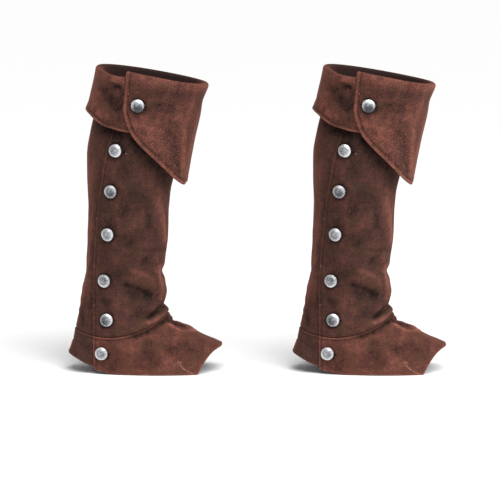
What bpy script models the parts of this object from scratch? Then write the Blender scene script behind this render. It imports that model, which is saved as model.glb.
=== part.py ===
"""Pair of suede boot covers, buttoned up the outer side, with a turned-down pointed cuff.

Each cover is cut from six pieces of suede: the front and back of the leg, the front and heel of
the foot, the cuff flap and the back of the cuff. It stays round and hollow, as it sits over a
boot. The front pieces lap over the back ones on the outer side, where seven domed metal buttons
hold them. All tables are in millimetres; the meshes are built in metres.

Frame: +X to the toe, +Z up, -Y the buttoned outer side. The origin is where the boot's ankle
holds the first cover. Heights in the tables are above the hem of the foot.
"""

import math
from collections import namedtuple

import bmesh
import bpy
from mathutils import Vector

# ---------------------------------------------------------------- driving dimensions
MM = 0.001
SUEDE = 2.0                  # thickness of every wall
GAP = 0.3                    # between two pieces at a seam, and between two layers
LAP_EASE = 11.0              # run over which a back piece dips to pass under the front one
PAIR_SPACING = 337.5         # from the first cover to the second, along X
ANKLE_HEIGHT = 100.0         # height of the held point above the hem
INNER_SEAM = 270.0           # angle of the hidden seam of leg and cuff
HEEL_SEAM = 232.0            # angle of the hidden seam of the foot

# Angles go round a cover in degrees: 0 front, 90 outer side, 180 back, 270 inner side.

# ---------------------------------------------------------------- leg
# A row is one ring of the leg's outer face, from the ankle seam up to the edge in the mouth.
# placket is the angle of the front piece's free edge on the outer side.
Ring = namedtuple("Ring", "front_z side_z back_z front_x back_x half_depth placket")
LEG_RINGS = (
    Ring(87.0, 57.0, 64.0, 70.9, -69.9, 46.0, 127.5),
    Ring(95.0, 68.5, 76.5, 69.3, -66.8, 45.5, 129.0),
    Ring(105.0, 82.0, 89.5, 66.6, -63.7, 44.8, 131.5),
    Ring(118.5, 97.5, 104.0, 66.2, -60.8, 44.4, 135.0),
    Ring(135.5, 115.5, 120.5, 65.7, -58.0, 44.5, 138.5),
    Ring(152.0, 135.0, 139.5, 65.0, -55.3, 45.4, 141.5),
    Ring(170.0, 157.0, 160.0, 66.2, -52.9, 47.0, 143.2),
    Ring(190.0, 181.0, 184.0, 68.8, -51.2, 49.4, 144.0),
    Ring(215.0, 209.0, 213.0, 70.5, -50.3, 52.2, 141.2),
    Ring(247.5, 243.0, 247.5, 71.6, -49.5, 55.6, 137.3),
    Ring(286.5, 285.0, 291.5, 77.2, -50.1, 59.6, 130.8),
    Ring(329.5, 332.0, 339.5, 90.4, -49.3, 63.6, 124.2),
    Ring(374.0, 382.0, 392.0, 105.0, -38.4, 67.0, 121.0),
    Ring(418.5, 432.0, 446.0, 119.9, -29.9, 69.0, 118.5),
)

# Folds of the leg where it breaks over the ankle: a soft ridge (height over 0) or trough
# (height under 0) along a line from one point to another of the leg's face.
Fold = namedtuple("Fold", "angle_a z_a angle_b z_b height width")
LEG_FOLDS = (
    Fold(-20.0, 104.0, 58.0, 85.0, -4.0, 7.0),      # crease over the roll at the seam
    Fold(-35.0, 92.0, 72.0, 72.0, 2.4, 7.0),        # the roll itself
    Fold(34.0, 109.0, 88.0, 124.0, -3.8, 9.0),      # trough across the ankle
    Fold(-25.0, 120.0, 30.0, 120.0, 1.8, 9.0),      # swelling of the front between two folds
    Fold(-30.0, 150.0, 22.0, 150.0, -3.8, 7.5),     # pinch of the front
    Fold(40.0, 134.0, 84.0, 148.0, 2.4, 9.0),
    Fold(36.0, 160.0, 66.0, 168.0, -2.2, 9.0),
    Fold(290.0, 112.0, 338.0, 100.0, -3.2, 8.0),    # the same breaks on the inner side
    Fold(272.0, 134.0, 322.0, 128.0, -3.0, 9.0),
    Fold(296.0, 150.0, 330.0, 142.0, 2.2, 9.0),
    Fold(262.0, 86.0, 320.0, 80.0, 2.0, 7.5),
    Fold(150.0, 96.0, 214.0, 102.0, -1.2, 9.0),     # slack behind the ankle
    Fold(146.0, 128.0, 206.0, 124.0, 1.8, 9.0),
    Fold(70.0, 330.0, 40.0, 220.0, 1.6, 14.0),      # long drags down the calf
    Fold(150.0, 320.0, 158.0, 200.0, 1.2, 13.0),
    Fold(300.0, 330.0, 312.0, 210.0, 1.6, 14.0),
)
FOLD_MM_PER_DEGREE = 1.0     # how far a degree runs round the leg, for the folds' lines
FOLD_FADE = 0.3              # part of a fold's length over which each of its ends dies away

# ---------------------------------------------------------------- foot
HEM_FRONT_X = 151.0          # tip of the toe point
HEM_BACK_X = -81.0           # heel
HEM_BALL_X = 62.0            # the hem is widest from here forwards
HEM_TAPER = 110.0            # and narrows to the heel's width over this length
HEM_HALF_WIDTH = 52.0
HEM_HEEL_HALF_WIDTH = 43.0
HEM_SQUARENESS = 2.9         # 2 is an ellipse, more is squarer
TOE_CORNER_X = 115.0         # from here the hem climbs to the toe point
TOE_TIP_Z = 39.0
TOE_ROUND = 1.9              # 1 climbs evenly, more climbs first and levels off at the point
HEEL_CORNER_X = 0.0          # from here the hem climbs round the heel
HEEL_TIP_Z = 28.0
HEEL_ROUND = 2.1             # 1 climbs evenly, more climbs last
HEEL_SHORT = 0.05            # on the buttoned side the heel piece stops this part short of the hem
HEEL_SHORT_EASE = 50.0       # degrees before the back over which it comes down to the hem
FOOT_PROUD = 0.8             # the foot stands out this far beyond the leg at the ankle seam
FOOT_EDGE_TOP = 127.5        # angle of the foot's buttoned edge at the ankle seam
FOOT_EDGE_HEM = 123.0        # and at the hem
INSTEP_START = (0.11, 0.55, 0.38)    # how far the foot's curve first runs out, sideways, down
FOOT_FOLDS = (
    Fold(8.0, 0.42, 34.0, 0.20, 2.0, 6.0),          # ridge across the instep
    Fold(-30.0, 0.30, 26.0, 0.16, -1.8, 6.0),       # hollow over it
)
FOOT_FOLD_LENGTH = 90.0      # a foot fold's height is a fraction of the way down, this long

# ---------------------------------------------------------------- cuff
RIM_RISE = 14.0              # from the leg's edge inside the mouth up to the rim
FOLD_RADIUS = 4.0            # of the middle of the suede where the cuff turns down
FLAP_EXTRA = 1.3             # more radius where the flap passes over the back of the cuff
FLAP_EDGE = 118.5            # angle of the flap's free edge
FLAP_SLANT = 3.0             # degrees that the flap's edge leans to the front at the rim
FLAP_SLANT_DROP = 60.0       # drop below the rim over which it comes upright
FLAP_SLANT_WIDTH = 16.0      # degrees to both sides of it that lean too
FLAP_LIFT = 5.0              # the flap's corner stands this much higher on the rim
FLAP_LIFT_RUN = 110.0        # degrees over which that lift dies away
BACK_SAG = 6.0               # the rim of the cuff's back sags this much behind the flap
BACK_SAG_ANGLE = 134.0
BACK_SAG_WIDTH = 26.0        # degrees
FLAP_TUCK = 20.0             # degrees of its edge where the flap keeps that radius
FLAP_COVER = 36.0            # and where it has the plain one again

# How the cuff hangs, by angle from the front: how far below the rim its lower edge is on the
# outer and on the inner side, lean how far it moves outwards for each millimetre down (below 0
# is inwards), and flare adds to that lower down.
Hang = namedtuple("Hang", "angle outer_drop inner_drop lean flare")
CUFF_HANG = (
    Hang(0.0, 142.5, 142.5, -0.38, 0.0011),
    Hang(20.0, 144.5, 140.0, -0.34, 0.0009),
    Hang(40.0, 147.0, 133.0, -0.25, 0.0006),
    Hang(60.0, 140.5, 121.0, -0.14, 0.0002),
    Hang(80.0, 124.0, 106.0, -0.05, 0.0),
    Hang(100.0, 100.5, 91.0, -0.01, 0.0),
    Hang(120.0, 74.0, 81.0, 0.03, 0.0002),
    Hang(140.0, 72.0, 75.0, 0.09, 0.0006),
    Hang(160.0, 64.0, 67.0, 0.15, 0.0012),
    Hang(180.0, 60.0, 60.0, 0.17, 0.0016),
)
CORNER_DROP = 43.0           # where the flap's free edge starts to round into its lower edge
CORNER_RUN = 11.0            # degrees over which it rounds
TUCK_DROP = 74.0             # the tucked end is no longer than this

# ---------------------------------------------------------------- buttons
# place is on the leg or the foot: angle, and height (leg), part of the way down (foot) or
# drop below the rim (cuff).
Button = namedtuple("Button", "name piece angle place")
BUTTONS = (
    Button("button_cuff", "cuff", 103.3, 40.4),
    Button("button_1", "leg", 112.0, 338.8),
    Button("button_2", "leg", 113.5, 277.2),
    Button("button_3", "leg", 117.4, 212.0),
    Button("button_4", "leg", 118.9, 141.3),
    Button("button_5", "leg", 110.0, 82.2),
    Button("button_6", "foot", 114.5, 0.515),
)
# Turned profile of a button from the suede up: radius and height.
Turn = namedtuple("Turn", "radius height")
BUTTON_PROFILE = (
    Turn(3.2, 0.4),
    Turn(3.2, 1.7),
    Turn(9.6, 2.0),
    Turn(10.4, 3.2),
    Turn(8.2, 5.4),
    Turn(3.8, 6.8),
)
BUTTON_SIDES = 12
BUTTON_SLOPE = 4.0           # the cuff's slope below its button is taken this far up and down

# ---------------------------------------------------------------- how finely the pieces are cut
LEG_ROWS = 26
FRONT_COLUMNS = 22
BACK_COLUMNS = 12
LEG_LAP_COLUMNS = 3          # columns of the front piece that the back one runs under
FOOT_ROWS = 6
FOOT_COLUMNS = 26
HEEL_COLUMNS = 8
FOOT_LAP_COLUMNS = 3
INNER_ROWS = 1               # of the cuff inside the mouth
TURN_ROWS = 4                # of the cuff round its fold
FLAP_ROWS = 5                # of the flap's hanging part
CUFF_ROWS = 4                # of the hanging part at the back
FLAP_COLUMNS = 22
FLAP_CROWDING = 0.6          # the flap's columns are this much closer at its rounded corner
CUFF_COLUMNS = 15
TUCK_COLUMNS = 3             # columns of the flap that the back of the cuff runs under
SLOPE_STEP = 0.5             # degrees, for the surface's slope round the cover
SLOPE_PLACE = 0.002          # part of a piece's height, for its slope up and down
SHARP_DEGREES = 40.0         # edges that turn more than this stay sharp
HALVINGS = 40                # steps that find the level of a height on the leg

# ---------------------------------------------------------------- colours, linear
LEG_COLOR = (0.080, 0.036, 0.028)
CUFF_COLOR = (0.112, 0.042, 0.033)
FOOT_COLOR = (0.125, 0.049, 0.037)
HEEL_COLOR = (0.066, 0.030, 0.024)
SUEDE_ROUGHNESS = 0.9
METAL_COLOR = (0.42, 0.43, 0.45)
METAL_ROUGHNESS = 0.4


def smooth_row(rows, place):
    """The row at a fractional place in a table, on a smooth curve through all its rows."""
    last = len(rows) - 1
    place = min(max(place, 0.0), float(last))
    i = min(int(place), last - 1)
    t = place - i
    a = rows[max(i - 1, 0)]
    b = rows[i]
    c = rows[i + 1]
    d = rows[min(i + 2, last)]
    values = []
    for p, q, r, s in zip(a, b, c, d):
        curve = 2.0 * q + (r - p) * t + (2.0 * p - 5.0 * q + 4.0 * r - s) * t * t
        curve += (3.0 * q - p - 3.0 * r + s) * t ** 3
        values.append(0.5 * curve)
    return type(b)(*values)


def ease(value):
    """0 below 0, 1 above 1, and a smooth step between."""
    value = min(max(value, 0.0), 1.0)
    return value * value * (3.0 - 2.0 * value)


def fold_height(folds, angle, height, mm_per_height=1.0):
    """How far the folds of a table lift the suede at a point."""
    total = 0.0
    for fold in folds:
        middle = 0.5 * (fold.angle_a + fold.angle_b)
        turn = (angle - middle + 180.0) % 360.0 + middle - 180.0
        along = Vector(((fold.angle_b - fold.angle_a) * FOLD_MM_PER_DEGREE,
                        (fold.z_b - fold.z_a) * mm_per_height))
        to = Vector(((turn - fold.angle_a) * FOLD_MM_PER_DEGREE,
                     (height - fold.z_a) * mm_per_height))
        t = to.dot(along) / along.length_squared
        side = (to - along * t).length / fold.width
        end = ease(t / FOLD_FADE + 0.5) * ease((1.0 - t) / FOLD_FADE + 0.5)
        total += fold.height * end * math.exp(-side * side)
    return total


def leg_face(angle, level):
    """A point of the leg's outer face; level 0 is the ankle seam, 1 the edge in the mouth."""
    ring = smooth_row(LEG_RINGS, level * (len(LEG_RINGS) - 1))
    c = math.cos(math.radians(angle))
    s = math.sin(math.radians(angle))
    half_length = 0.5 * (ring.front_x - ring.back_x)
    middle = 0.5 * (ring.front_x + ring.back_x)
    tilt = 0.5 * (ring.front_z - ring.back_z)
    dip = 0.5 * (ring.front_z + ring.back_z) - ring.side_z
    height = ring.side_z + tilt * c + dip * c * c
    outward = Vector((c / half_length, -s / ring.half_depth, 0.0)).normalized()
    point = Vector((middle + half_length * c, -ring.half_depth * s, height))
    return point + outward * fold_height(LEG_FOLDS, angle, height)


def hem_point(angle):
    """A point of the foot's hem."""
    c = math.cos(math.radians(angle))
    s = math.sin(math.radians(angle))
    power = 2.0 / HEM_SQUARENESS
    middle = 0.5 * (HEM_FRONT_X + HEM_BACK_X)
    half_length = 0.5 * (HEM_FRONT_X - HEM_BACK_X)
    x = middle + half_length * math.copysign(abs(c) ** power, c)
    width = HEM_HALF_WIDTH
    if x < HEM_BALL_X:
        width -= (HEM_HALF_WIDTH - HEM_HEEL_HALF_WIDTH) * ease((HEM_BALL_X - x) / HEM_TAPER)
    if x > TOE_CORNER_X:
        left = max(HEM_FRONT_X - x, 0.0) / (HEM_FRONT_X - TOE_CORNER_X)
        z = TOE_TIP_Z * (1.0 - left ** TOE_ROUND)
    elif x < HEEL_CORNER_X:
        z = HEEL_TIP_Z * ((HEEL_CORNER_X - x) / (HEEL_CORNER_X - HEM_BACK_X)) ** HEEL_ROUND
    else:
        z = 0.0
    return Vector((x, -width * math.copysign(abs(s) ** power, s), z))


def foot_face(angle, down):
    """A point of the foot's outer face; down goes from 0 at the ankle seam to 1 at the hem."""
    top = leg_face(angle, 0.0)
    outward = Vector((math.cos(math.radians(angle)), -math.sin(math.radians(angle)), 0.0))
    top = top + outward * FOOT_PROUD - Vector((0.0, 0.0, GAP))
    hem = hem_point(angle)
    out, sideways, fall = INSTEP_START
    knee = Vector((top.x + out * (hem.x - top.x),
                   top.y + sideways * (hem.y - top.y),
                   top.z + fall * (hem.z - top.z)))
    up = 1.0 - down
    point = top * up * up + knee * 2.0 * up * down + hem * down * down
    lift = fold_height(FOOT_FOLDS, angle, down, FOOT_FOLD_LENGTH)
    return point + (outward + Vector((0.0, 0.0, 1.0))).normalized() * lift


def heel_face(angle, down):
    """A point of the heel piece's outer face, which is a little shorter than the foot's front."""
    short = HEEL_SHORT * ease((180.0 - angle) / HEEL_SHORT_EASE)
    return foot_face(angle, down * (1.0 - short))


def cuff_hang(angle):
    """How the cuff hangs at an angle, and how long it is there."""
    turn = (angle + 180.0) % 360.0 - 180.0
    step = CUFF_HANG[1].angle - CUFF_HANG[0].angle
    hang = smooth_row(CUFF_HANG, abs(turn) / step)
    return hang, hang.outer_drop if turn > 0.0 else hang.inner_drop


def flap_cover(angle):
    """1 where the flap lies over the tucked end of the cuff's back, 0 away from it."""
    return ease((angle - FLAP_EDGE + FLAP_COVER) / (FLAP_COVER - FLAP_TUCK))


def flap_drop(angle):
    """How far the flap hangs down at an angle, with its rounded corner."""
    drop = cuff_hang(angle)[1]
    inside = min(max((FLAP_EDGE - angle) / CORNER_RUN, 0.0), 1.0)
    corner = math.sqrt(1.0 - (1.0 - inside) ** 2)
    return CORNER_DROP + (drop - CORNER_DROP) * corner


def cuff_face(angle, run, radius, lift, sink):
    """A point in the middle of the cuff's suede.

    run goes from -1 (its sewn edge inside the mouth) to 0 (start of the fold) to 1 (end of
    the fold), and above 1 it is 1 plus the drop below the fold. sink sets the sewn edge
    further in, where the back of the leg dips under the front.
    """
    off = (angle - FLAP_EDGE) / FLAP_SLANT_WIDTH
    upright = ease((run - 1.0) / FLAP_SLANT_DROP)
    angle -= FLAP_SLANT * (1.0 - upright) * math.exp(-off * off)
    foot = leg_face(angle, 1.0)
    c = math.cos(math.radians(angle))
    s = math.sin(math.radians(angle))
    ring = LEG_RINGS[-1]
    half_length = 0.5 * (ring.front_x - ring.back_x)
    outward = Vector((c / half_length, -s / ring.half_depth, 0.0)).normalized()
    up = (foot - leg_face(angle, 1.0 - SLOPE_PLACE)).normalized()
    straight = RIM_RISE - SUEDE / 2.0 - radius + lift
    start = foot - face_normal(leg_face, angle, 1.0 - SLOPE_PLACE) * (SUEDE / 2.0 + sink)
    if run <= 0.0:
        return start + up * (GAP + (straight - GAP) * (run + 1.0))
    center = start + up * straight + outward * radius
    if run <= 1.0:
        turn = math.pi * run
        return center - outward * radius * math.cos(turn) + Vector((0, 0, radius * math.sin(turn)))
    drop = run - 1.0
    hang = cuff_hang(angle)[0]
    out = radius + hang.lean * drop + hang.flare * drop * drop
    return center + outward * out - Vector((0.0, 0.0, drop))


def flap_face(angle, run):
    """The middle of the flap's suede, which passes over the back of the cuff at its edge."""
    cover = flap_cover(angle)
    lift = FLAP_LIFT * ease(1.0 - (FLAP_EDGE - angle) / FLAP_LIFT_RUN)
    return cuff_face(angle, run, FOLD_RADIUS + FLAP_EXTRA * cover, lift, 0.0)


def back_cuff_face(angle, run):
    """The middle of the suede of the cuff's back, with its sagging rim."""
    sink = lap_dip(angle, FLAP_EDGE)
    off = (angle - BACK_SAG_ANGLE) / BACK_SAG_WIDTH
    lift = -BACK_SAG * math.exp(-off * off)
    return cuff_face(angle, run, FOLD_RADIUS + sink / 2.0, lift, sink)


def lap_dip(angle, edge):
    """How far a back piece lies further in, to pass under the edge of a front piece."""
    past = (angle - edge) / LAP_EASE
    return (SUEDE + GAP) * ease(1.0 - past)


def placket_angle(level):
    """The angle of the front piece's buttoned edge at a level of the leg."""
    return smooth_row(LEG_RINGS, level * (len(LEG_RINGS) - 1)).placket


def face_normal(face, angle, place, reach=None):
    """The way out of a face, square to it."""
    reach = reach or SLOPE_PLACE
    around = face(angle + SLOPE_STEP, place) - face(angle - SLOPE_STEP, place)
    along = face(angle, place + reach) - face(angle, place - reach)
    normal = around.cross(along).normalized()
    outward = Vector((math.cos(math.radians(angle)), -math.sin(math.radians(angle)), 0.0))
    if normal.dot(outward) < 0.0:
        normal.negate()
    return normal


def sheet_solid(name, outer, inner, color, parent, keep=None):
    """One closed wall between two grids of points; keep says which squares of them are cut."""
    rows = len(outer)
    columns = len(outer[0])
    mesh = bmesh.new()
    sides = []
    for grid in (outer, inner):
        sides.append([[None] * columns for _ in range(rows)])
    used = [[keep is None or keep(r, c) for c in range(columns - 1)] for r in range(rows - 1)]

    def vertex(side, r, c):
        if sides[side][r][c] is None:
            grid = outer if side == 0 else inner
            sides[side][r][c] = mesh.verts.new(grid[r][c] * MM)
        return sides[side][r][c]

    edges = {}
    for r in range(rows - 1):
        for c in range(columns - 1):
            if not used[r][c]:
                continue
            corners = ((r, c), (r, c + 1), (r + 1, c + 1), (r + 1, c))
            mesh.faces.new([vertex(0, *p) for p in corners])
            mesh.faces.new([vertex(1, *p) for p in reversed(corners)])
            for p, q in zip(corners, corners[1:] + corners[:1]):
                if (q, p) in edges:
                    del edges[(q, p)]
                else:
                    edges[(p, q)] = True
    for p, q in edges:
        mesh.faces.new((vertex(0, *q), vertex(0, *p), vertex(1, *p), vertex(1, *q)))
    bmesh.ops.recalc_face_normals(mesh, faces=mesh.faces[:])
    add_object(name, mesh, color, SUEDE_ROUGHNESS, 0.0, parent)


def add_object(name, mesh, color, roughness, metallic, parent):
    """Put a finished mesh into the scene as a named object with a material of its own."""
    data = bpy.data.meshes.new(name)
    mesh.to_mesh(data)
    mesh.free()
    data.shade_smooth()
    data.set_sharp_from_angle(angle=math.radians(SHARP_DEGREES))
    material = bpy.data.materials.new(name)
    material.use_nodes = True
    shader = material.node_tree.nodes["Principled BSDF"]
    shader.inputs["Base Color"].default_value = (*color, 1.0)
    shader.inputs["Roughness"].default_value = roughness
    shader.inputs["Metallic"].default_value = metallic
    data.materials.append(material)
    thing = bpy.data.objects.new(name, data)
    thing.parent = parent
    bpy.context.scene.collection.objects.link(thing)
    return thing


def tube_angles(edge, seam, front_columns, back_columns, lap_columns):
    """The angles of the columns of a front piece and of the back piece that it laps over.

    The front piece runs from its free edge round the front to the hidden seam. The back piece
    starts below the front one, on its very columns, and runs round the back to that seam.
    """
    half_gap = math.degrees(GAP / 2.0 / LEG_RINGS[0].half_depth)
    front_end = seam + half_gap - 360.0
    back_end = seam - half_gap
    front = [edge + (front_end - edge) * c / front_columns for c in range(front_columns + 1)]
    back = front[lap_columns:0:-1]
    back += [edge + (back_end - edge) * c / back_columns for c in range(back_columns + 1)]
    return front, back


def tube_piece(name, face, rows, angles_at, edge_at, color, parent):
    """A piece of the leg or the foot, its first row on the ankle seam.

    edge_at gives the free edge that a back piece dips under; it is None for a front piece.
    """
    outer = []
    inner = []
    for r in range(rows + 1):
        place = r / rows
        inside = min(max(place, SLOPE_PLACE), 1.0 - SLOPE_PLACE)
        outer.append([])
        inner.append([])
        for angle in angles_at(place):
            dip = lap_dip(angle, edge_at(place)) if edge_at else 0.0
            normal = face_normal(face, angle, inside)
            point = face(angle, place)
            for grid, depth in ((outer, dip), (inner, dip + SUEDE)):
                grid[-1].append(point - normal * depth)
                if r == 0:
                    grid[-1][-1].z = point.z
    sheet_solid(name, outer, inner, color, parent)


def make_leg(suffix, parent):
    """The front and the back of the leg."""
    def angles(level):
        edge = placket_angle(level)
        return tube_angles(edge, INNER_SEAM, FRONT_COLUMNS, BACK_COLUMNS, LEG_LAP_COLUMNS)

    def front(level):
        return angles(level)[0]

    def back(level):
        return angles(level)[1]

    tube_piece("leg_front" + suffix, leg_face, LEG_ROWS, front, None, LEG_COLOR, parent)
    tube_piece("leg_back" + suffix, leg_face, LEG_ROWS, back, placket_angle, LEG_COLOR, parent)


def make_foot(suffix, parent):
    """The front of the foot and the heel piece."""
    def edge(down):
        return FOOT_EDGE_TOP + (FOOT_EDGE_HEM - FOOT_EDGE_TOP) * down

    def angles(down):
        return tube_angles(edge(down), HEEL_SEAM, FOOT_COLUMNS, HEEL_COLUMNS, FOOT_LAP_COLUMNS)

    def front(down):
        return angles(down)[0]

    def heel(down):
        return angles(down)[1]

    tube_piece("foot_front" + suffix, foot_face, FOOT_ROWS, front, None, FOOT_COLOR, parent)
    tube_piece("foot_heel" + suffix, heel_face, FOOT_ROWS, heel, edge, HEEL_COLOR, parent)


def cuff_runs(drop, hanging_rows):
    """Where the rows of a cuff lie, from the sewn edge over the fold to its lower edge."""
    runs = [-1.0 + i / INNER_ROWS for i in range(INNER_ROWS)]
    runs += [i / TURN_ROWS for i in range(TURN_ROWS)]
    runs += [1.0 + drop * i / hanging_rows for i in range(hanging_rows + 1)]
    return runs


def cuff_piece(name, face, angles, drop_at, hanging_rows, parent, keep=None):
    """A piece of the cuff, its wall half to each side of the middle of the suede."""
    middle = []
    for angle in angles:
        middle.append([face(angle, run) for run in cuff_runs(drop_at(angle), hanging_rows)])
    columns = len(middle)
    rows = len(middle[0])
    outer = [[None] * columns for _ in range(rows)]
    inner = [[None] * columns for _ in range(rows)]
    for c in range(columns):
        for r in range(rows):
            along = middle[min(c + 1, columns - 1)][r] - middle[max(c - 1, 0)][r]
            down = middle[c][min(r + 1, rows - 1)] - middle[c][max(r - 1, 0)]
            normal = along.cross(down).normalized()
            outer[r][c] = middle[c][r] + normal * SUEDE / 2.0
            inner[r][c] = middle[c][r] - normal * SUEDE / 2.0
    sheet_solid(name, outer, inner, CUFF_COLOR, parent, keep)


def make_cuff(suffix, parent):
    """The flap, and the back of the cuff with its end tucked below the flap."""
    half_gap = math.degrees(GAP / 2.0 / LEG_RINGS[-1].half_depth)
    flap_end = INNER_SEAM + half_gap - 360.0
    flap_angles = []
    for c in range(FLAP_COLUMNS + 1):
        part = c / FLAP_COLUMNS
        part *= FLAP_CROWDING + (1.0 - FLAP_CROWDING) * part
        flap_angles.append(FLAP_EDGE + (flap_end - FLAP_EDGE) * part)
    cuff_piece("cuff_flap" + suffix, flap_face, flap_angles, flap_drop, FLAP_ROWS, parent)

    start = FLAP_EDGE + 2.0 * half_gap
    end = INNER_SEAM - half_gap
    back_angles = flap_angles[TUCK_COLUMNS:0:-1]
    back_angles += [start + (end - start) * c / CUFF_COLUMNS for c in range(CUFF_COLUMNS + 1)]
    first_hanging = INNER_ROWS + TURN_ROWS

    def keep(row, column):
        return column >= TUCK_COLUMNS or row > first_hanging

    def drop_at(angle):
        drop = cuff_hang(angle)[1]
        return drop if angle > FLAP_EDGE else min(drop, TUCK_DROP)

    cuff_piece("cuff_back" + suffix, back_cuff_face, back_angles, drop_at, CUFF_ROWS, parent, keep)


def button_seat(button):
    """Where a button sits: the point of the suede below it and the way out of the suede."""
    if button.piece == "leg":
        low = 0.0
        high = 1.0
        for _ in range(HALVINGS):
            level = 0.5 * (low + high)
            if leg_face(button.angle, level).z < button.place:
                low = level
            else:
                high = level
        return leg_face(button.angle, level), face_normal(leg_face, button.angle, level)
    if button.piece == "foot":
        normal = face_normal(foot_face, button.angle, button.place)
        return foot_face(button.angle, button.place), normal
    run = 1.0 + button.place
    normal = face_normal(flap_face, button.angle, run, BUTTON_SLOPE)
    return flap_face(button.angle, run) + normal * SUEDE / 2.0, normal


def make_button(button, suffix, parent):
    """A domed button on its short shank, square to the suede below it."""
    point, normal = button_seat(button)
    right = Vector((0.0, 0.0, 1.0)).cross(normal).normalized()
    up = normal.cross(right)
    mesh = bmesh.new()
    rings = []
    for turn in BUTTON_PROFILE:
        ring = []
        for k in range(BUTTON_SIDES):
            angle = 2.0 * math.pi * k / BUTTON_SIDES
            way = right * math.cos(angle) + up * math.sin(angle)
            ring.append(mesh.verts.new((way * turn.radius + normal * turn.height) * MM))
        rings.append(ring)
    for low, high in zip(rings, rings[1:]):
        for k in range(BUTTON_SIDES):
            n = (k + 1) % BUTTON_SIDES
            mesh.faces.new((low[k], low[n], high[n], high[k]))
    mesh.faces.new(reversed(rings[0]))
    mesh.faces.new(rings[-1])
    bmesh.ops.recalc_face_normals(mesh, faces=mesh.faces[:])
    thing = add_object(button.name + suffix, mesh, METAL_COLOR, METAL_ROUGHNESS, 1.0, parent)
    thing.location = point * MM


def make_cover(number):
    """One whole cover below an empty of its own."""
    cover = bpy.data.objects.new("cover_%d" % number, None)
    cover.location = (PAIR_SPACING * (number - 1) * MM, 0.0, -ANKLE_HEIGHT * MM)
    bpy.context.scene.collection.objects.link(cover)
    suffix = "_%d" % number
    make_leg(suffix, cover)
    make_foot(suffix, cover)
    make_cuff(suffix, cover)
    for button in BUTTONS:
        make_button(button, suffix, cover)


for old in list(bpy.data.objects):
    bpy.data.objects.remove(old)
for cover_number in (1, 2):
    make_cover(cover_number)
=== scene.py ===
"""Looks of a pair of brown suede boot covers, buttoned up the outer side, with a pointed cuff.

Both covers are the same and stand side by side, round and hollow as over a boot. Lengths are in
millimetres. A cover's own zero is on the axis of its ankle, level with its hem, and angles go
round it in degrees: 0 at the toe, 90 on the buttoned outer side, 180 at the heel, 270 inside.
"""

import math

import bmesh
import bpy
import numpy as np
from mathutils import Matrix, Vector, kdtree


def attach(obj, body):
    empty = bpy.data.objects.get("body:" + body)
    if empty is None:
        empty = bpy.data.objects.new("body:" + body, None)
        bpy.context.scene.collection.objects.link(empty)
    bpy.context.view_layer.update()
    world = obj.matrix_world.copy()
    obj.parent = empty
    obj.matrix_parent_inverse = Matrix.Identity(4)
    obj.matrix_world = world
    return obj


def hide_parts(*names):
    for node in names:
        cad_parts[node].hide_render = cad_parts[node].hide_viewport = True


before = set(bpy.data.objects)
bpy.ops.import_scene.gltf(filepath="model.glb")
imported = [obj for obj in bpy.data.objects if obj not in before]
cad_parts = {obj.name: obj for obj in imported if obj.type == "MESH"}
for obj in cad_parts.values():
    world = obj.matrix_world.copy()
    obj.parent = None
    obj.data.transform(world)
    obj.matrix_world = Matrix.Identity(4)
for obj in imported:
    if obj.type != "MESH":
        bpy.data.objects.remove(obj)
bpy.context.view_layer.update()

# ---------------------------------------------------------------- the leg
# Two pieces of soft brown suede make the tube round the calf. The front one runs from its free,
# buttoned edge round the shin to a seam on the hidden inner side; the back one starts below it
# and runs round the calf to that seam. The suede is slack and breaks into folds at the ankle.
MM = 0.001
COVERS = {1: (0.0, 0.0, -0.1), 2: (0.3375, 0.0, -0.1)}       # where each cover's zero is
SUEDE = 2.0                  # thickness
GAP = 0.3                    # between two layers
CUT_ROUND = 0.9              # how round a cut edge is worn
UNDERLAP = 34.0              # degrees that the back piece runs on below the front one
LAP_EASE = 11.0              # degrees over which it dips to pass below the front one
INNER_SEAM = 270.0           # the hidden seam's angle
PRESSED = 0.25               # degrees that two butted edges press into each other
SEAM_LAP = 7.0               # the leg runs on this far below the foot's upper edge
SEAM_DIP = 1.5               # and lies this much further in there
TUCK = 3.0                   # how far the ankle seam is drawn in at the front
TUCK_WIDTH = 40.0
GROOVE = 0.45                # depth of the groove that a row of stitches draws
GROOVE_WIDTH = 1.3

# One ring of the leg a row, from the ankle seam up to the edge in the mouth:
# front_z, side_z, back_z, front_x, back_x, half_depth, angle of the buttoned edge
LEG_RINGS = np.array((
    (87, 57, 64, 70.9, -69.9, 46, 127.5),
    (95, 68.5, 76.5, 69.3, -66.8, 45.5, 129),
    (105, 82, 89.5, 66.6, -63.7, 44.8, 131.5),
    (118.5, 97.5, 104, 66.2, -60.8, 44.4, 135),
    (135.5, 115.5, 120.5, 65.7, -58, 44.5, 138.5),
    (152, 135, 139.5, 65, -55.3, 45.4, 141.5),
    (170, 157, 160, 66.2, -52.9, 47, 143.2),
    (190, 181, 184, 68.8, -51.2, 49.4, 144),
    (215, 209, 213, 70.5, -50.3, 52.2, 141.2),
    (247.5, 243, 247.5, 71.6, -49.5, 55.6, 137.3),
    (286.5, 285, 291.5, 77.2, -50.1, 59.6, 130.8),
    (329.5, 332, 339.5, 90.4, -49.3, 63.6, 124.2),
    (374, 382, 392, 105, -38.4, 67, 121),
    (418.5, 432, 446, 119.9, -29.9, 69, 118.5),
))
LAST_RING = len(LEG_RINGS) - 1.0
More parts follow.
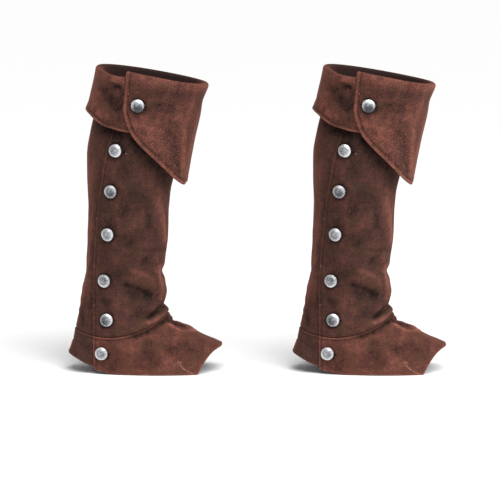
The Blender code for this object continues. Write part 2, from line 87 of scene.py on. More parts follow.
# Folds: from angle, height, to angle, height, how far it stands out (below 0: in), half width.
LEG_FOLDS = (
    (-20, 104, 58, 85, -4, 7),                   # deep crease over the roll at the ankle seam
    (-35, 92, 72, 72, 2.4, 7),                   # the roll
    (34, 109, 88, 124, -3.8, 9),                 # trough across the ankle
    (-25, 120, 30, 120, 1.8, 9),
    (-30, 150, 22, 150, -3.8, 7.5),              # pinch of the shin
    (40, 134, 84, 148, 2.4, 9),
    (36, 160, 66, 168, -2.2, 9),
    (290, 112, 338, 100, -3.2, 8),               # the same breaks on the inner side
    (272, 134, 322, 128, -3, 9),
    (296, 150, 330, 142, 2.2, 9),
    (262, 86, 320, 80, 2, 7.5),
    (150, 96, 214, 102, -1.2, 9),                # slack behind the ankle
    (146, 128, 206, 124, 1.8, 9),
    (70, 330, 40, 220, 1.6, 14),                 # long drags down the calf
    (150, 320, 158, 200, 1.2, 13),
    (300, 330, 312, 210, 1.6, 14),
)
# Finer creases of the same suede, uneven as it falls.
LEG_CREASES = (
    (14, 184, 60, 186, -2, 3.6),                 # sharp crease over the shin
    (47, 178, 72, 167, -1.5, 5),
    (43, 181, 30, 132, 2.1, 3.8),                # upright ridge beside the shin
    (43, 141, 88, 162, 1.5, 4.2),
    (46, 119, 92, 136, -1.7, 4.2),
    (52, 82.5, 2, 101, -2.2, 3.2),               # the crease's sharp bottom
    (64, 76, 16, 89, 1.1, 3),
    (-30, 86, 30, 83, -1.6, 5),                  # the suede turns in to the seam in front
    (62, 92, 84, 84, -1.2, 4),
    (105, 118, 97, 76, 1.2, 4.6),                # soft upright ridge by the lowest button
    (92, 112, 88, 78, -0.7, 5),
    (40, 262, 22, 198, 1.8, 4.6),                # pale drag down the shin
    (62, 264, 55, 212, -1.3, 6),
    (88, 300, 100, 236, -0.7, 8),
    (80, 232, 96, 196, 0.6, 7),
    (152, 216, 160, 104, 0.8, 5),                # drags of the back piece
    (168, 290, 176, 190, -0.8, 7),
    (196, 310, 186, 150, 0.9, 8),
    (170, 88, 214, 80, -1, 4.5),
    (160, 91, 200, 91, 2.2, 9),                  # and its straight outline there
    (160, 107, 200, 107, 2.4, 10),
    (176, 150, 226, 158, -1, 5.5),
    (222, 116, 262, 126, -1.3, 5),
    (230, 152, 266, 146, 1, 5.5),
    (300, 186, 344, 180, -1.8, 4),               # the inner side's finer breaks
    (318, 172, 332, 128, 1.6, 4.5),
    (286, 122, 330, 114, -1.5, 4.2),
    (302, 92, 352, 101, -2, 3.6),
    (282, 300, 276, 220, -0.8, 8),
    (330, 300, 340, 214, 1.2, 7),
)
# Patches where the nap lies darker or lighter, and painted shade and light at the trough and
# the roll: the same numbers, the lift standing for tone.
LEG_MARKS = (
    (92, 138, 67, 128.5, -2.2, 3.6),             # painted shade in the trough
    (70, 129.5, 44, 117.5, -2.8, 4),
    (82, 160, 53, 147.5, 1, 2.8),
    (30, 162, 20, 130, 4.4, 7.5),                # reddish front of the bulge
    (20, 134, 30, 108, 2.8, 6),
    (54, 83, 18, 103, -4.6, 3.4),                # painted shade in the crease over the roll, light on the roll
    (60, 77, 8, 91, 2.8, 2.8),
    (164, 94, 147, 70, -2.2, 7),
    (140, 116, 146, 98, -1.4, 6),
    (146, 318, 156, 200, 1.5, 5),                # paler drag up the back piece
    (156, 190, 164, 110, 1.6, 5),
    (44, 266, 30, 226, 2.2, 6),                  # paler drag down the shin
    (28, 232, 24, 196, 2.4, 6),
    (62, 262, 57, 220, -2, 6),
    (100, 292, 88, 284, 0.5, 9),
    (84, 232, 70, 222, 0.6, 12),
    (108, 176, 98, 168, 0.4, 8),
    (100, 118, 90, 108, 0.7, 8),
    (90, 98, 74, 92, 0.9, 6),
    (106, 314, 92, 306, -1.6, 10),
    (88, 282, 64, 262, -1.8, 12),
    (96, 256, 90, 240, -1.4, 12),
    (94, 210, 80, 196, -1.6, 11),
    (118, 236, 108, 222, -1.6, 8),
    (108, 160, 92, 150, -1.2, 9),
    (122, 116, 106, 104, -1.5, 6),
    (66, 196, 50, 200, 1, 7),
    (214, 300, 224, 220, -1.2, 9),               # the hidden sides' patches
    (238, 262, 246, 230, 1.3, 8),
    (196, 240, 204, 180, 1.2, 8),
    (290, 262, 300, 214, -1.5, 10),
    (318, 246, 330, 200, 1.8, 8),
    (284, 170, 296, 150, 1.2, 8),
    (300, 108, 326, 98, -2.2, 4),
    (330, 142, 340, 112, 2, 7),
)
# Where the seven buttons hold the suede in a little: name, piece, angle, and on the leg the
# height, on the foot the share of the way down and on the cuff the drop.
BUTTONS = (
    ("button_cuff", "cuff", 103.3, 40.4),
    ("button_1", "leg", 112.0, 338.8),
    ("button_2", "leg", 113.5, 277.2),
    ("button_3", "leg", 117.4, 212.0),
    ("button_4", "leg", 118.9, 141.3),
    ("button_5", "leg", 110.0, 82.2),
    ("button_6", "foot", 114.5, 0.515),
)
PER_DEGREE = {"leg": 1.08, "foot": 1.4, "cuff": 1.28}        # millimetres round each piece
PULL = 0.7                   # how far in
PULL_WIDTH = 8.5
BUTTON_SHADE = 3.6                 # how dark the painted shade round a button is
BUTTON_SHADE_WIDTH = 12.6
# The slow waves of soft suede: their number, ways, lengths and phases.
WAVES = 26
wave_dice = np.random.default_rng(11)
WAVE_WAYS = wave_dice.normal(size=(WAVES, 3))
WAVE_WAYS /= np.linalg.norm(WAVE_WAYS, axis=1)[:, None]
WAVE_LENGTHS = np.geomspace(9.0, 52.0, WAVES)
WAVE_PHASES = wave_dice.uniform(0.0, 2.0 * np.pi, WAVES)


def ease(value):
    """0 below 0, 1 above 1, and a smooth step between."""
    value = np.clip(value, 0.0, 1.0)
    return value * value * (3.0 - 2.0 * value)


def unit(vectors):
    return vectors / np.linalg.norm(vectors, axis=-1, keepdims=True)


def way(angle):
    """The level way outwards at an angle."""
    turn = np.radians(angle)
    return np.stack((np.cos(turn), -np.sin(turn), np.zeros_like(turn)), axis=-1)


def along(table, place):
    """The rows of a table at fractional places, on a smooth curve through all its rows."""
    last = len(table) - 1
    place = np.clip(place, 0.0, last)
    i = np.minimum(place.astype(int), last - 1)
    t = (place - i)[..., None]
    a = table[np.maximum(i - 1, 0)]
    b = table[i]
    c = table[i + 1]
    d = table[np.minimum(i + 2, last)]
    curve = 2.0 * b + (c - a) * t + (2.0 * a - 5.0 * b + 4.0 * c - d) * t * t
    curve += (3.0 * b - a - 3.0 * c + d) * t ** 3
    return np.moveaxis(0.5 * curve, -1, 0)


def fold_relief(folds, angle, height, stretch=1.0):
    """How far the folds of a table lift the suede."""
    total = np.zeros_like(angle)
    for angle_a, z_a, angle_b, z_b, lift, width in folds:
        middle = 0.5 * (angle_a + angle_b)
        turn = (angle - middle + 180.0) % 360.0 + middle - 180.0
        run = angle_b - angle_a
        rise = (z_b - z_a) * stretch
        x = turn - angle_a
        y = (height - z_a) * stretch
        t = (x * run + y * rise) / (run * run + rise * rise)
        side = np.hypot(x - run * t, y - rise * t) / width
        fade = ease(t / 0.3 + 0.5) * ease((1.0 - t) / 0.3 + 0.5)
        total += lift * fade * np.exp(-side * side)
    return total


def undulation(points):
    """The small slow unevenness of soft suede, from about -1 to 1."""
    turns = points @ WAVE_WAYS.T * (2.0 * np.pi / WAVE_LENGTHS) + WAVE_PHASES
    return np.sin(turns) @ (WAVE_LENGTHS / WAVE_LENGTHS.sum()) * 2.2


def off_buttons(piece, angle, place, per_degree, per_place):
    """How far from each button of a piece its points are."""
    return [np.hypot((angle - at_angle) * per_degree, (place - at_place) * per_place)
            for _, on, at_angle, at_place in BUTTONS if on == piece]


def button_pull(piece, angle, place, per_place=1.0):
    """How far the buttons of a piece draw its suede in."""
    offs = off_buttons(piece, angle, place, 1.0, per_place)
    return -PULL * sum(np.exp(-(off / PULL_WIDTH) ** 2) for off in offs)


def button_shade(piece, angle, place, per_place=1.0):
    """The painted shade in a ring round each button of a piece, as tone."""
    offs = off_buttons(piece, angle, place, PER_DEGREE[piece], per_place)
    return -BUTTON_SHADE * sum(np.exp(-(off / BUTTON_SHADE_WIDTH) ** 6) for off in offs)


def from_toe(angle):
    """The same angle between -180 and 180, from the toe."""
    return (angle + 180.0) % 360.0 - 180.0


def seam_tuck(angle):
    """How far the foot's upper edge is drawn in at the front."""
    return TUCK * np.exp(-(from_toe(angle) / TUCK_WIDTH) ** 2)


def leg_face(angle, level, fine=True):
    """Points of the leg's outer face: level 0 is the ankle seam, 1 the edge in the mouth."""
    front_z, side_z, back_z, front_x, back_x, half_depth, _ = along(LEG_RINGS, level * LAST_RING)
    c = np.cos(np.radians(angle))
    s = np.sin(np.radians(angle))
    half_length = 0.5 * (front_x - back_x)
    height = side_z + 0.5 * (front_z - back_z) * c
    height += (0.5 * (front_z + back_z) - side_z) * c * c
    outward = unit(np.stack((c / half_length, -s / half_depth, 0.0 * height), axis=-1))
    x = 0.5 * (front_x + back_x) + half_length * c
    points = np.stack((x, -half_depth * s, height), axis=-1)
    relief = fold_relief(LEG_FOLDS, angle, height)
    if fine:
        # The creases fade at both ends, and the lower end is drawn in with the foot's edge.
        ends = ease(level * 20.0) * ease((1.0 - level) * 12.0)
        small = fold_relief(LEG_CREASES, angle, height) + 0.55 * undulation(points)
        relief = relief + ends * small + button_pull("leg", angle, height)
        relief = relief - 0.8 * seam_tuck(angle) * ease(1.0 - level / 0.055)
    points = points + outward * relief[..., None]
    points[..., 2] += SEAM_LAP * np.minimum(level, 0.0)
    return points


def leg_edge(level):
    """The angle of the front piece's buttoned edge."""
    return along(LEG_RINGS, level * LAST_RING)[6]


def leg_tone(angle, level):
    """The leg's tone, in millimetres of relief: painted shade and light of its folds, its patches
    and painted shade round its buttons.
    """
    height = leg_face(angle, level, False)[..., 2]
    # The folds' relief, halved, is painted as shade in their troughs and light on their ridges.
    creases = fold_relief(LEG_FOLDS + LEG_CREASES, angle, height) * 0.5
    marks = fold_relief(LEG_MARKS, angle, height)
    return creases + marks + button_shade("leg", angle, height)


def tone_shaded_behind_edge(angle, level):
    """The back piece's tones, with painted shade along the front piece's buttoned edge over it.
    """
    past = (angle - leg_edge(level) - 3.5) / 4.4
    return leg_tone(angle, level) - 0.9 * np.exp(-past * past)


def lap_dip(past):
    """How far a back piece lies further in, a number of degrees behind the front one's edge."""
    return (SUEDE + GAP) * ease(1.0 - past / LAP_EASE)


def stops(count, length, first=True, last=True):
    """Shares of the way across a piece of a length, closer together at its cut edges."""
    edge = np.array((0.0, 0.12, 0.35, 0.65, 1.0)) * CUT_ROUND / length
    inset = 1.9 * CUT_ROUND / length
    middle = np.linspace(inset if first else 0.0, 1.0 - inset if last else 1.0, count)
    parts = [edge] * first + [middle] + [(1.0 - edge)[::-1]] * last
    return np.concatenate(parts)


def distance_to(grid, line):
    """How far each point of a grid is from a line of points."""
    steps = np.linspace(0.0, len(line) - 1.0, 6 * len(line))
    low = np.minimum(steps.astype(int), len(line) - 2)
    fine = line[low] + (line[low + 1] - line[low]) * (steps - low)[:, None]
    tree = kdtree.KDTree(len(fine))
    for i, point in enumerate(fine):
        tree.insert(point, i)
    tree.balance()
    found = [tree.find(point)[2] for point in grid.reshape(-1, 3)]
    return np.array(found).reshape(grid.shape[:2])


def grid_normals(grid, angle):
    """The way out of the suede at each point of a grid."""
    normals = unit(np.cross(np.gradient(grid, axis=1), np.gradient(grid, axis=0)))
    flip = (normals * way(angle)).sum(axis=-1).mean() < 0.0
    return -normals if flip else normals


def inset_row(grid, normals, reach, inset, side):
    """The line across a grid that stays an inset away from one of its sides."""
    if side == "last column":
        grid, normals, reach = grid[:, ::-1], normals[:, ::-1], reach[:, ::-1]
    if side == "last row":
        grid, normals, reach = grid[::-1], normals[::-1], reach[::-1]
    if side.endswith("row"):
        grid, normals, reach = (a.swapaxes(0, 1) for a in (grid, normals, reach))
    after = np.argmax(reach >= inset, axis=1)
    line = np.nonzero(after > 0)[0]
    after = after[line]
    near = reach[line, after - 1]
    t = ((inset - near) / (reach[line, after] - near))[:, None]
    points = grid[line, after - 1] * (1.0 - t) + grid[line, after] * t
    return points, normals[line, after]


def wall(name, outer, inner, cut_distance, painted, keep=None):
    """One closed wall of suede between two grids, rounded at its cut edges.

    painted gives the values to keep on the mesh's points, outside and inside, for its nodes.
    """
    rows, columns = outer.shape[:2]
    worn = np.maximum(CUT_ROUND - cut_distance, 0.0)
    worn = CUT_ROUND - np.sqrt(np.maximum(CUT_ROUND ** 2 - worn ** 2, 0.0))
    through = unit(inner - outer) * worn[..., None]
    points = np.concatenate(((outer + through).reshape(-1, 3), (inner - through).reshape(-1, 3)))
    number = np.arange(rows * columns).reshape(rows, columns)
    used = np.ones((rows - 1, columns - 1), bool) if keep is None else keep
    r, c = np.nonzero(used)
    front = np.stack((number[r, c], number[r, c + 1], number[r + 1, c + 1], number[r + 1, c]), 1)
    back = front[:, ::-1] + rows * columns
    edges = set()
    for face in front.tolist():
        for p, q in zip(face, face[1:] + face[:1]):
            if (q, p) in edges:
                edges.remove((q, p))
            else:
                edges.add((p, q))
    sides = [(q, p, p + rows * columns, q + rows * columns) for p, q in sorted(edges)]
    mesh = bpy.data.meshes.new(name)
    mesh.from_pydata((points * MM).tolist(), [], front.tolist() + back.tolist() + sides)
    for key, (outside, inside) in painted.items():
        layer = mesh.attributes.new(key, "FLOAT", "POINT")
        values = np.concatenate([np.broadcast_to(v, (rows, columns)).ravel()
                                 for v in (outside, inside)])
        layer.data.foreach_set("value", values.astype(np.float32))
    shaped = bmesh.new()
    shaped.from_mesh(mesh)
    loose = [v for v in shaped.verts if not v.link_faces]
    bmesh.ops.delete(shaped, geom=loose, context="VERTS")
    bmesh.ops.recalc_face_normals(shaped, faces=shaped.faces[:])
    shaped.to_mesh(mesh)
    shaped.free()
    mesh.shade_smooth()
    return mesh


def tube_wall(name, face, angles, places, tone, dips, sewn, level_seam, edge_width, paleness):
    """The wall of a piece of the leg or the foot, and its stitch lines.

    tone gives its light and dark, and dips how far it lies further in. sewn gives how far inside
    each sewn side its row of stitches runs, in a slight groove that is painted darker as shade. A
    level seam is a first row that lies level on the leg. The cut edges are painted pale: partly
    rubbed wear, partly a painted highlight where they catch the light.
    """
    grid = face(angles, places)
    normals = grid_normals(grid, angles)
    grid = grid - normals * dips[..., None]
    sides = {"first column": grid[:, 0], "last column": grid[:, -1],
             "first row": grid[0], "last row": grid[-1]}
    reach = {side: distance_to(grid, line) for side, line in sides.items()}
    groove = np.zeros_like(angles)
    for side, inset in sewn.items():
        drawn = (reach[side] - inset) / GROOVE_WIDTH
        groove = np.maximum(groove, np.exp(-drawn * drawn))
    outer = grid - normals * (GROOVE * groove)[..., None]
    inner = grid - normals * SUEDE
    if level_seam:
        outer[0, :, 2] = grid[0, :, 2]
        inner[0, :, 2] = grid[0, :, 2]
    near = np.minimum.reduce(list(reach.values()))
    pale = paleness * np.exp(-(near / edge_width) ** 2)
    if level_seam:
        # The shaded front of the ankle seam has neither the pale wear nor the painted highlight.
        pale *= 1.0 - ease((96.0 - angles) / 26.0) * ease(1.0 - reach["first row"] / 8.0)
    # The stitches' grooves are painted darker, as shade.
    painted = {"fold": (tone(angles, places) - 1.6 * groove, 0.0), "cut": (pale, pale),
               "flesh": (0.0, 1.0)}
    rows = [inset_row(outer, normals, reach[side], inset, side) for side, inset in sewn.items()]
    return wall(name, outer, inner, near, painted), rows


class Wire:
    """A socket of a material's nodes, so that sums of sockets read as sums."""

    def __init__(self, tree, socket=None):
        self.tree = tree
        self.socket = socket

    def node(self, kind, settings, inputs, output=0):
        """A node of a kind, its settings made first, and one of its outputs."""
        made = self.tree.nodes.new("ShaderNode" + kind)
        for name, value in settings.items():
            if name != "stops":
                setattr(made, name, value)
                continue
            ramp = made.color_ramp
            while len(ramp.elements) < len(value):
                ramp.elements.new(0.5)
            for element, (place, color) in zip(ramp.elements, value):
                element.position = place
                element.color = (*color, 1.0)
        for name, value in inputs.items():
            if isinstance(value, Wire):
                self.tree.links.new(value.socket, made.inputs[name])
            else:
                made.inputs[name].default_value = value
        return Wire(self.tree, made.outputs[output])

    def math(self, operation, a, b=0.0):
        return self.node("Math", {"operation": operation}, {0: a, 1: b})

    def __add__(self, other):
        return self.math("ADD", self, other)

    __radd__ = __add__

    def __sub__(self, other):
        return self.math("SUBTRACT", self, other)

    def __rsub__(self, other):
        return self.math("SUBTRACT", other, self)

    def __mul__(self, other):
        return self.math("MULTIPLY", self, other)

    __rmul__ = __mul__

    def clamped(self, low, high):
        """From 0 at low to 1 at high, and no further."""
        return self.node("MapRange", {"clamp": True}, {0: self, 1: low, 2: high})

    def noise(self, place, scale, detail=2.0, roughness=0.5):
        """Soft noise at a scale, from 0 to 1."""
        inputs = {"Vector": place, "Scale": scale, "Detail": detail, "Roughness": roughness}
        return self.node("TexNoise", {}, inputs, "Fac")

    def mixed(self, factor, a, b):
        """One colour passing into another."""
        return self.node("Mix", {"data_type": "RGBA"}, {0: factor, 6: a, 7: b}, 2)

    def near_line(self, line, wide):
        """1 on a line of points given in millimetres, down to 0 this far from it."""
        nearest = 1.0
        for start, end in zip(line[:-1], line[1:]):
            start, end = Vector(start) * MM, Vector(end) * MM
            here = self.vector("SUBTRACT", self, start)
            run = end - start
            share = self.vector("DOT_PRODUCT", here, run / run.length_squared, 1)
            on_it = self.vector("SCALE", run, share.clamped(0.0, 1.0))
            away = self.vector("DISTANCE", here, on_it, 1)
            nearest = away.math("MINIMUM", away, nearest)
        return 1.0 - nearest.clamped(0.0, wide * MM)

    def vector(self, operation, a, b, output=0):
        second = "Scale" if operation == "SCALE" else 1
        return self.node("VectorMath", {"operation": operation}, {0: a, second: b}, output)

    def painted(self, name):
        """A value painted on the mesh's points."""
        return self.node("Attribute", {"attribute_name": name}, {}, "Fac")

    def feed(self, shader, socket):
        self.tree.links.new(self.socket, shader.inputs[socket])


def new_material(name, roughness, specular):
    """A material, its shader, a wire to its nodes and the place on the object."""
    material = bpy.data.materials.new(name)
    material.use_nodes = True
    shader = material.node_tree.nodes["Principled BSDF"]
    shader.inputs["Roughness"].default_value = roughness
    shader.inputs["Specular IOR Level"].default_value = specular
    look = Wire(material.node_tree)
    return material, shader, look, look.node("TexCoord", {}, {}, "Object")


def suede_look(name, dark, middle, light, grain, flecks, edges=0.40, scuff=()):
    """Suede with a nap in clouds, paler cut edges, a plainer inner side, and painted shade and
    light.
    """
    material, shader, look, place = new_material(name, 0.94, 0.06)
    bare = (0.36, 0.19, 0.145, 1.0)
    # The suede's inner side, darkened with painted shade, as the inside of the mouth lies in
    # shade.
    shaded_flesh_side = (0.020, 0.0125, 0.0115, 1.0)
    fold = look.painted("fold")
    cut = look.painted("cut")
    flesh = look.painted("flesh")
    upright = look.node("Mapping", {}, {"Vector": place, "Scale": (1.0, 1.0, 0.5)})
    clouds = look.noise(upright, 36.0, 3.0, 0.55)
    patches = look.noise(place, 110.0, 3.0, 0.6)
    mottle = look.noise(place, 430.0, 3.0, 0.65)
    nap = look.noise(place, 1500.0, 2.0, 0.7)
    tone = 0.5 + (clouds - 0.5) * 0.55 + (patches - 0.5) * 0.55
    tone = tone + (mottle - 0.5) * grain + (nap - 0.5) * 0.5
    # The painted values: tone with painted shade and light, and pale cut edges, partly wear and
    # partly painted highlight.
    tone = tone + fold * 0.11 + cut * edges
    deep = tuple(0.36 * part for part in dark)
    ramp = ((0.0, deep), (0.2, dark), (0.52, middle), (1.0, light))
    color = look.node("ValToRGB", {"stops": ramp}, {"Fac": tone}, "Color")
    hue = look.noise(place, 60.0, 2.0, 0.5)
    olive = (middle[0] * 0.74, middle[1] * 1.02, middle[2] * 0.84, 1.0)
    plum = (middle[0] * 0.80, middle[1] * 0.88, middle[2] * 1.12, 1.0)
    color = look.mixed(hue.clamped(0.50, 0.66) * 0.5, color, olive)
    color = look.mixed(hue.clamped(0.48, 0.34) * 0.4, color, plum)
    spots = look.node("TexVoronoi", {}, {"Vector": place, "Scale": 430.0}, "Distance")
    chosen = look.noise(place, 520.0, 1.0, 0.5).clamped(0.47, 0.60)
    spots = (1.0 - spots.clamped(0.16, 0.38)) * chosen * look.painted("speck") * flecks
    pale = (light[0] * 1.7, light[1] * 1.9, light[2] * 2.0, 1.0)
    color = look.mixed(spots, color, pale)
    if len(scuff):
        scuffed = place.near_line(scuff, 1.6).clamped(0.0, 0.9) * mottle.clamped(0.40, 0.60)
        color = look.mixed(scuffed * 0.62, color, bare)
    color = look.mixed(flesh * 0.9, color, shaded_flesh_side)
    color.feed(shader, "Base Color")
    height = patches * 0.5 + mottle * 0.4 + nap * 0.18
    bump = look.node("Bump", {}, {"Strength": 0.8, "Distance": 0.0013, "Height": height})
    bump.feed(shader, "Normal")
    shader.inputs["Sheen Weight"].default_value = 0.30
    shader.inputs["Sheen Roughness"].default_value = 0.40
    shader.inputs["Sheen Tint"].default_value = (0.70, 0.29, 0.21, 1.0)
    return material


def on_both(name, mesh, node=None, stance=Matrix()):
    """Puts a mesh on both covers, in place of its node where it has one."""
    made = {}
    for number, corner in COVERS.items():
        piece = bpy.data.objects.new("%s_%d" % (name, number), mesh)
        piece.matrix_world = Matrix.Translation(corner) @ stance
        bpy.context.scene.collection.objects.link(piece)
        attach(piece, "root")
        if node:
            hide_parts("%s_%d" % (node, number))
        made[number] = piece
    return made


# How many rows and columns of points each piece has.
LEG_ROWS = 160
FRONT_COLUMNS = 118
BACK_COLUMNS = 64
leg_suede = suede_look("brown suede of the leg", (0.019, 0.0108, 0.0091), (0.062, 0.0266, 0.0203),
                       (0.165, 0.0600, 0.0450), 0.85, 0.5)
levels = np.concatenate(((-1.0, -0.6, -0.25), stops(LEG_ROWS, 345.0, first=False)))[:, None]
edge = leg_edge(levels)
shares = stops(FRONT_COLUMNS, 245.0)[None, :]
angles = edge + (INNER_SEAM - PRESSED - 360.0 - edge) * shares
places = np.broadcast_to(levels, angles.shape)
seam_dip = SEAM_DIP * ease(1.0 - places / 0.03)
mesh, leg_rows = tube_wall("front of the leg", leg_face, angles, places, leg_tone, seam_dip,
                           {"first column": 4.6, "last column": 4.0}, False, 1.5, 0.55)
mesh.materials.append(leg_suede)
leg_front = on_both("suede_leg_front", mesh, "leg_front")

shares = stops(BACK_COLUMNS, 155.0)[None, :]
angles = edge - UNDERLAP + (INNER_SEAM + PRESSED - edge + UNDERLAP) * shares
places = np.broadcast_to(levels, angles.shape)
seam_dip = SEAM_DIP * ease(1.0 - places / 0.03) + lap_dip(angles - edge)
mesh, _ = tube_wall("back of the leg", leg_face, angles, places, tone_shaded_behind_edge, seam_dip,
                    {}, False, 1.5, 0.55)
mesh.materials.append(leg_suede)
leg_back = on_both("suede_leg_back", mesh, "leg_back")

# ---------------------------------------------------------------- the foot
# Two more pieces spread over the boot's foot, open below. The front one runs over the instep to
# a toe point and is buttoned over the heel piece, which is darker and has a raised hem. Their
# upper edges lap over the leg by the suede's thickness and are sewn down there.
HEEL_SEAM = 232.0            # its hidden seam's angle
HEEL_UNDERLAP = 28.0
FOOT_EDGE_TOP = 127.5        # the buttoned edge's angle at the ankle seam
FOOT_EDGE_HEM = 123.0        # and at the hem
FOOT_PROUD = 0.8             # how far the foot's upper edge stands off the leg
FOOT_LENGTH = 90.0           # from the seam to the hem, for its folds
KNEE = np.array((0.11, 0.55, 0.38))          # where the foot bends between seam and hem
HEM_MIDDLE = 35.0            # how far before the ankle's axis the hem's oval has its middle
HEM_HALF_LENGTH = 116.0
HEM_HALF_WIDTH = 52.0        # at the ball
HEEL_NARROWER = 9.0          # and how much less it is at the heel
HEM_SQUARED = 2.0 / 2.9      # 1 would be a plain oval
TOE_RISE = 39.0              # how far the hem climbs to the toe's tip
TOE_RISE_LENGTH = 36.0       # over this length
HEEL_RISE = 28.0             # and how far to the back of the heel
# Folds and creases: from angle, share of the way down, to the same, lift, half width.
FOOT_FOLDS = (
    (8, 0.42, 34, 0.20, 2, 6),                   # ridge across the instep
    (-30, 0.30, 26, 0.16, -1.8, 6),              # hollow over it
)
FOOT_CREASES = (
    (24, 0.54, 30, 0.18, 1.9, 3),                # the instep ridge's crest
    (-2, 0.67, 23, 0.57, 2, 3.2),
    (2, 0.56, 20, 0.30, -2.2, 4.4),
    (-44, 0.25, 24, 0.21, -3.8, 9.5),            # hollow below the ankle seam
    (-24, 0.205, 22, 0.205, 3.6, 4.6),           # where it turns up to the seam
    (-22, 0.57, 10, 0.57, 3, 9),                 # top of the instep
    (38, 0.07, 78, 0.08, -1.2, 5.5),
    (63, 0.30, 84, 0.88, -1.2, 7),               # soft upright trough
    (56, 0.50, 76, 0.90, 0.9, 6),
    (92, 0.44, 72, 0.20, 1, 8),
    (100, 0.60, 108, 0.92, -0.7, 6),
    (-60, 0.10, -20, 0.14, -1.8, 5),             # the inner side's
    (-84, 0.35, -66, 0.85, -1.1, 8),
    (-40, 0.40, -28, 0.80, 1, 6),
    (-104, 0.20, -96, 0.70, 0.8, 7),
    (150, 0.45, 205, 0.55, -0.9, 6),
)
FOOT_MARKS = (
    (76, 0.07, 54, 0.06, -2.4, 7),               # painted shade in the hollow below the seam
    (54, 0.06, 12, 0.08, -3.4, 8.5),
    (20, 0.23, 2, 0.52, -4.4, 6),                # and painted shade above the instep ridge
    # painted light along the ridges' crests
    (30, 0.17, 25, 0.50, 2.6, 2),
    (24, 0.52, 0, 0.66, 3.2, 2.2),
    (64, 0.26, 82, 0.66, -1.8, 6),
    (58, 0.55, 36, 0.74, -2.4, 8),
    (22, 0.80, 48, 0.84, -1.6, 7),
    (94, 0.20, 82, 0.46, 1.5, 7),
    (98, 0.90, 76, 0.90, 1.5, 5),
    (46, 0.52, 32, 0.60, 1.2, 6),
    (66, 0.80, 56, 0.66, 0.8, 6),
    (152, 0.70, 132, 0.82, 1.6, 6),
    (128, 0.30, 136, 0.55, -1.6, 7),
    (-14, 0.06, -70, 0.06, -3.4, 6.5),
    (-60, 0.50, -40, 0.64, -1.6, 8),
    (-92, 0.60, -80, 0.34, 1.4, 8),
    (190, 0.66, 214, 0.60, 1.2, 8),
)
# A thin scuffed hook near the corner of the toe: angle, share of the way down.
TOE_SCUFF = ((54.4, 0.785), (56.6, 0.765), (58.4, 0.82), (60.3, 0.89), (60.0, 0.94), (58.2, 0.99))


def hem_point(angle):
    """The foot's hem: a squared oval, widest at the ball, climbing at the toe and the heel."""
    c = np.cos(np.radians(angle))
    s = np.sin(np.radians(angle))
    x = HEM_MIDDLE + HEM_HALF_LENGTH * np.copysign(np.abs(c) ** HEM_SQUARED, c)
    width = HEM_HALF_WIDTH - HEEL_NARROWER * ease((62.0 - x) / 110.0)
    y = -width * np.copysign(np.abs(s) ** HEM_SQUARED, s)
    from_tip = np.clip(HEM_MIDDLE + HEM_HALF_LENGTH - x, 0.0, TOE_RISE_LENGTH)
    toe = TOE_RISE * (1.0 - (from_tip / TOE_RISE_LENGTH) ** 1.9)
    heel = HEEL_RISE * (np.clip(-x, 0.0, None) / (HEM_HALF_LENGTH - HEM_MIDDLE)) ** 2.1
    return np.stack((x, y, toe + heel), axis=-1)


def foot_face(angle, down, fine=True):
    """Points of the foot's outer face, from the ankle seam at 0 down to the hem at 1."""
    outward = way(angle)
    top = leg_face(angle, np.zeros_like(angle), False) + outward * FOOT_PROUD
    if fine:
        top = top - outward * seam_tuck(angle)[..., None]
    top[..., 2] -= GAP
    hem = hem_point(angle)
    knee = top + KNEE * (hem - top)
    t = down[..., None]
    points = top * (1.0 - t) ** 2 + knee * 2.0 * (1.0 - t) * t + hem * t * t
    relief = fold_relief(FOOT_FOLDS, angle, down, FOOT_LENGTH)
    if fine:
        small = fold_relief(FOOT_CREASES, angle, down, FOOT_LENGTH) + 0.5 * undulation(points)
        relief += small * ease(down * 16.0) * ease((1.0 - down) * 9.0 + 0.15)
        relief += button_pull("foot", angle, down, 75.0)
    rise = unit(outward + np.array((0.0, 0.0, 1.0)))
    return points + rise * relief[..., None]


def heel_face(angle, down, fine=True):
    """The heel piece's outer face, which is a little shorter than the foot's front."""
    return foot_face(angle, down * (1.0 - 0.05 * ease((180.0 - angle) / 50.0)), fine)


def foot_tone(angle, down):
    """The foot's tone: painted shade and light of its folds, its patches and painted shade round
    its button.
    """
    marks = fold_relief(FOOT_FOLDS + FOOT_CREASES + FOOT_MARKS, angle, down, FOOT_LENGTH)
    return marks + button_shade("foot", angle, down, 75.0)


FOOT_ROWS = 50
FOOT_COLUMNS = 165
HEEL_COLUMNS = 62
foot_suede = suede_look("reddish suede of the foot", (0.034, 0.0152, 0.0118),
                        (0.091, 0.0340, 0.0246), (0.205, 0.0715, 0.0515), 0.9, 0.5,
                        scuff=foot_face(*np.array(TOE_SCUFF).T))
heel_suede = suede_look("darkest suede of the heel", (0.024, 0.0130, 0.0108),
                        (0.058, 0.0270, 0.0212), (0.115, 0.0465, 0.0355), 0.9, 0.3)
downs = stops(FOOT_ROWS, 85.0)[:, None]
edge = FOOT_EDGE_TOP + (FOOT_EDGE_HEM - FOOT_EDGE_TOP) * downs
angles = edge + (HEEL_SEAM - PRESSED - 360.0 - edge) * stops(FOOT_COLUMNS, 330.0)[None, :]
places = np.broadcast_to(downs, angles.shape)
sewn = {"first column": 4.2, "first row": 3.0, "last column": 4.0}
mesh, foot_rows = tube_wall("front of the foot", foot_face, angles, places, foot_tone,
                            np.zeros_like(angles), sewn, True, 1.8, 1.0)
mesh.materials.append(foot_suede)
foot_front = on_both("suede_foot_front", mesh, "foot_front")

start = edge - HEEL_UNDERLAP
angles = start + (HEEL_SEAM + PRESSED - start) * stops(HEEL_COLUMNS, 120.0)[None, :]
places = np.broadcast_to(downs, angles.shape)
mesh, heel_rows = tube_wall("heel piece", heel_face, angles, places, foot_tone,
                            lap_dip(angles - edge), {"first row": 3.0}, True, 1.5, 1.0)
mesh.materials.append(heel_suede)
foot_heel = on_both("suede_foot_heel", mesh, "foot_heel")

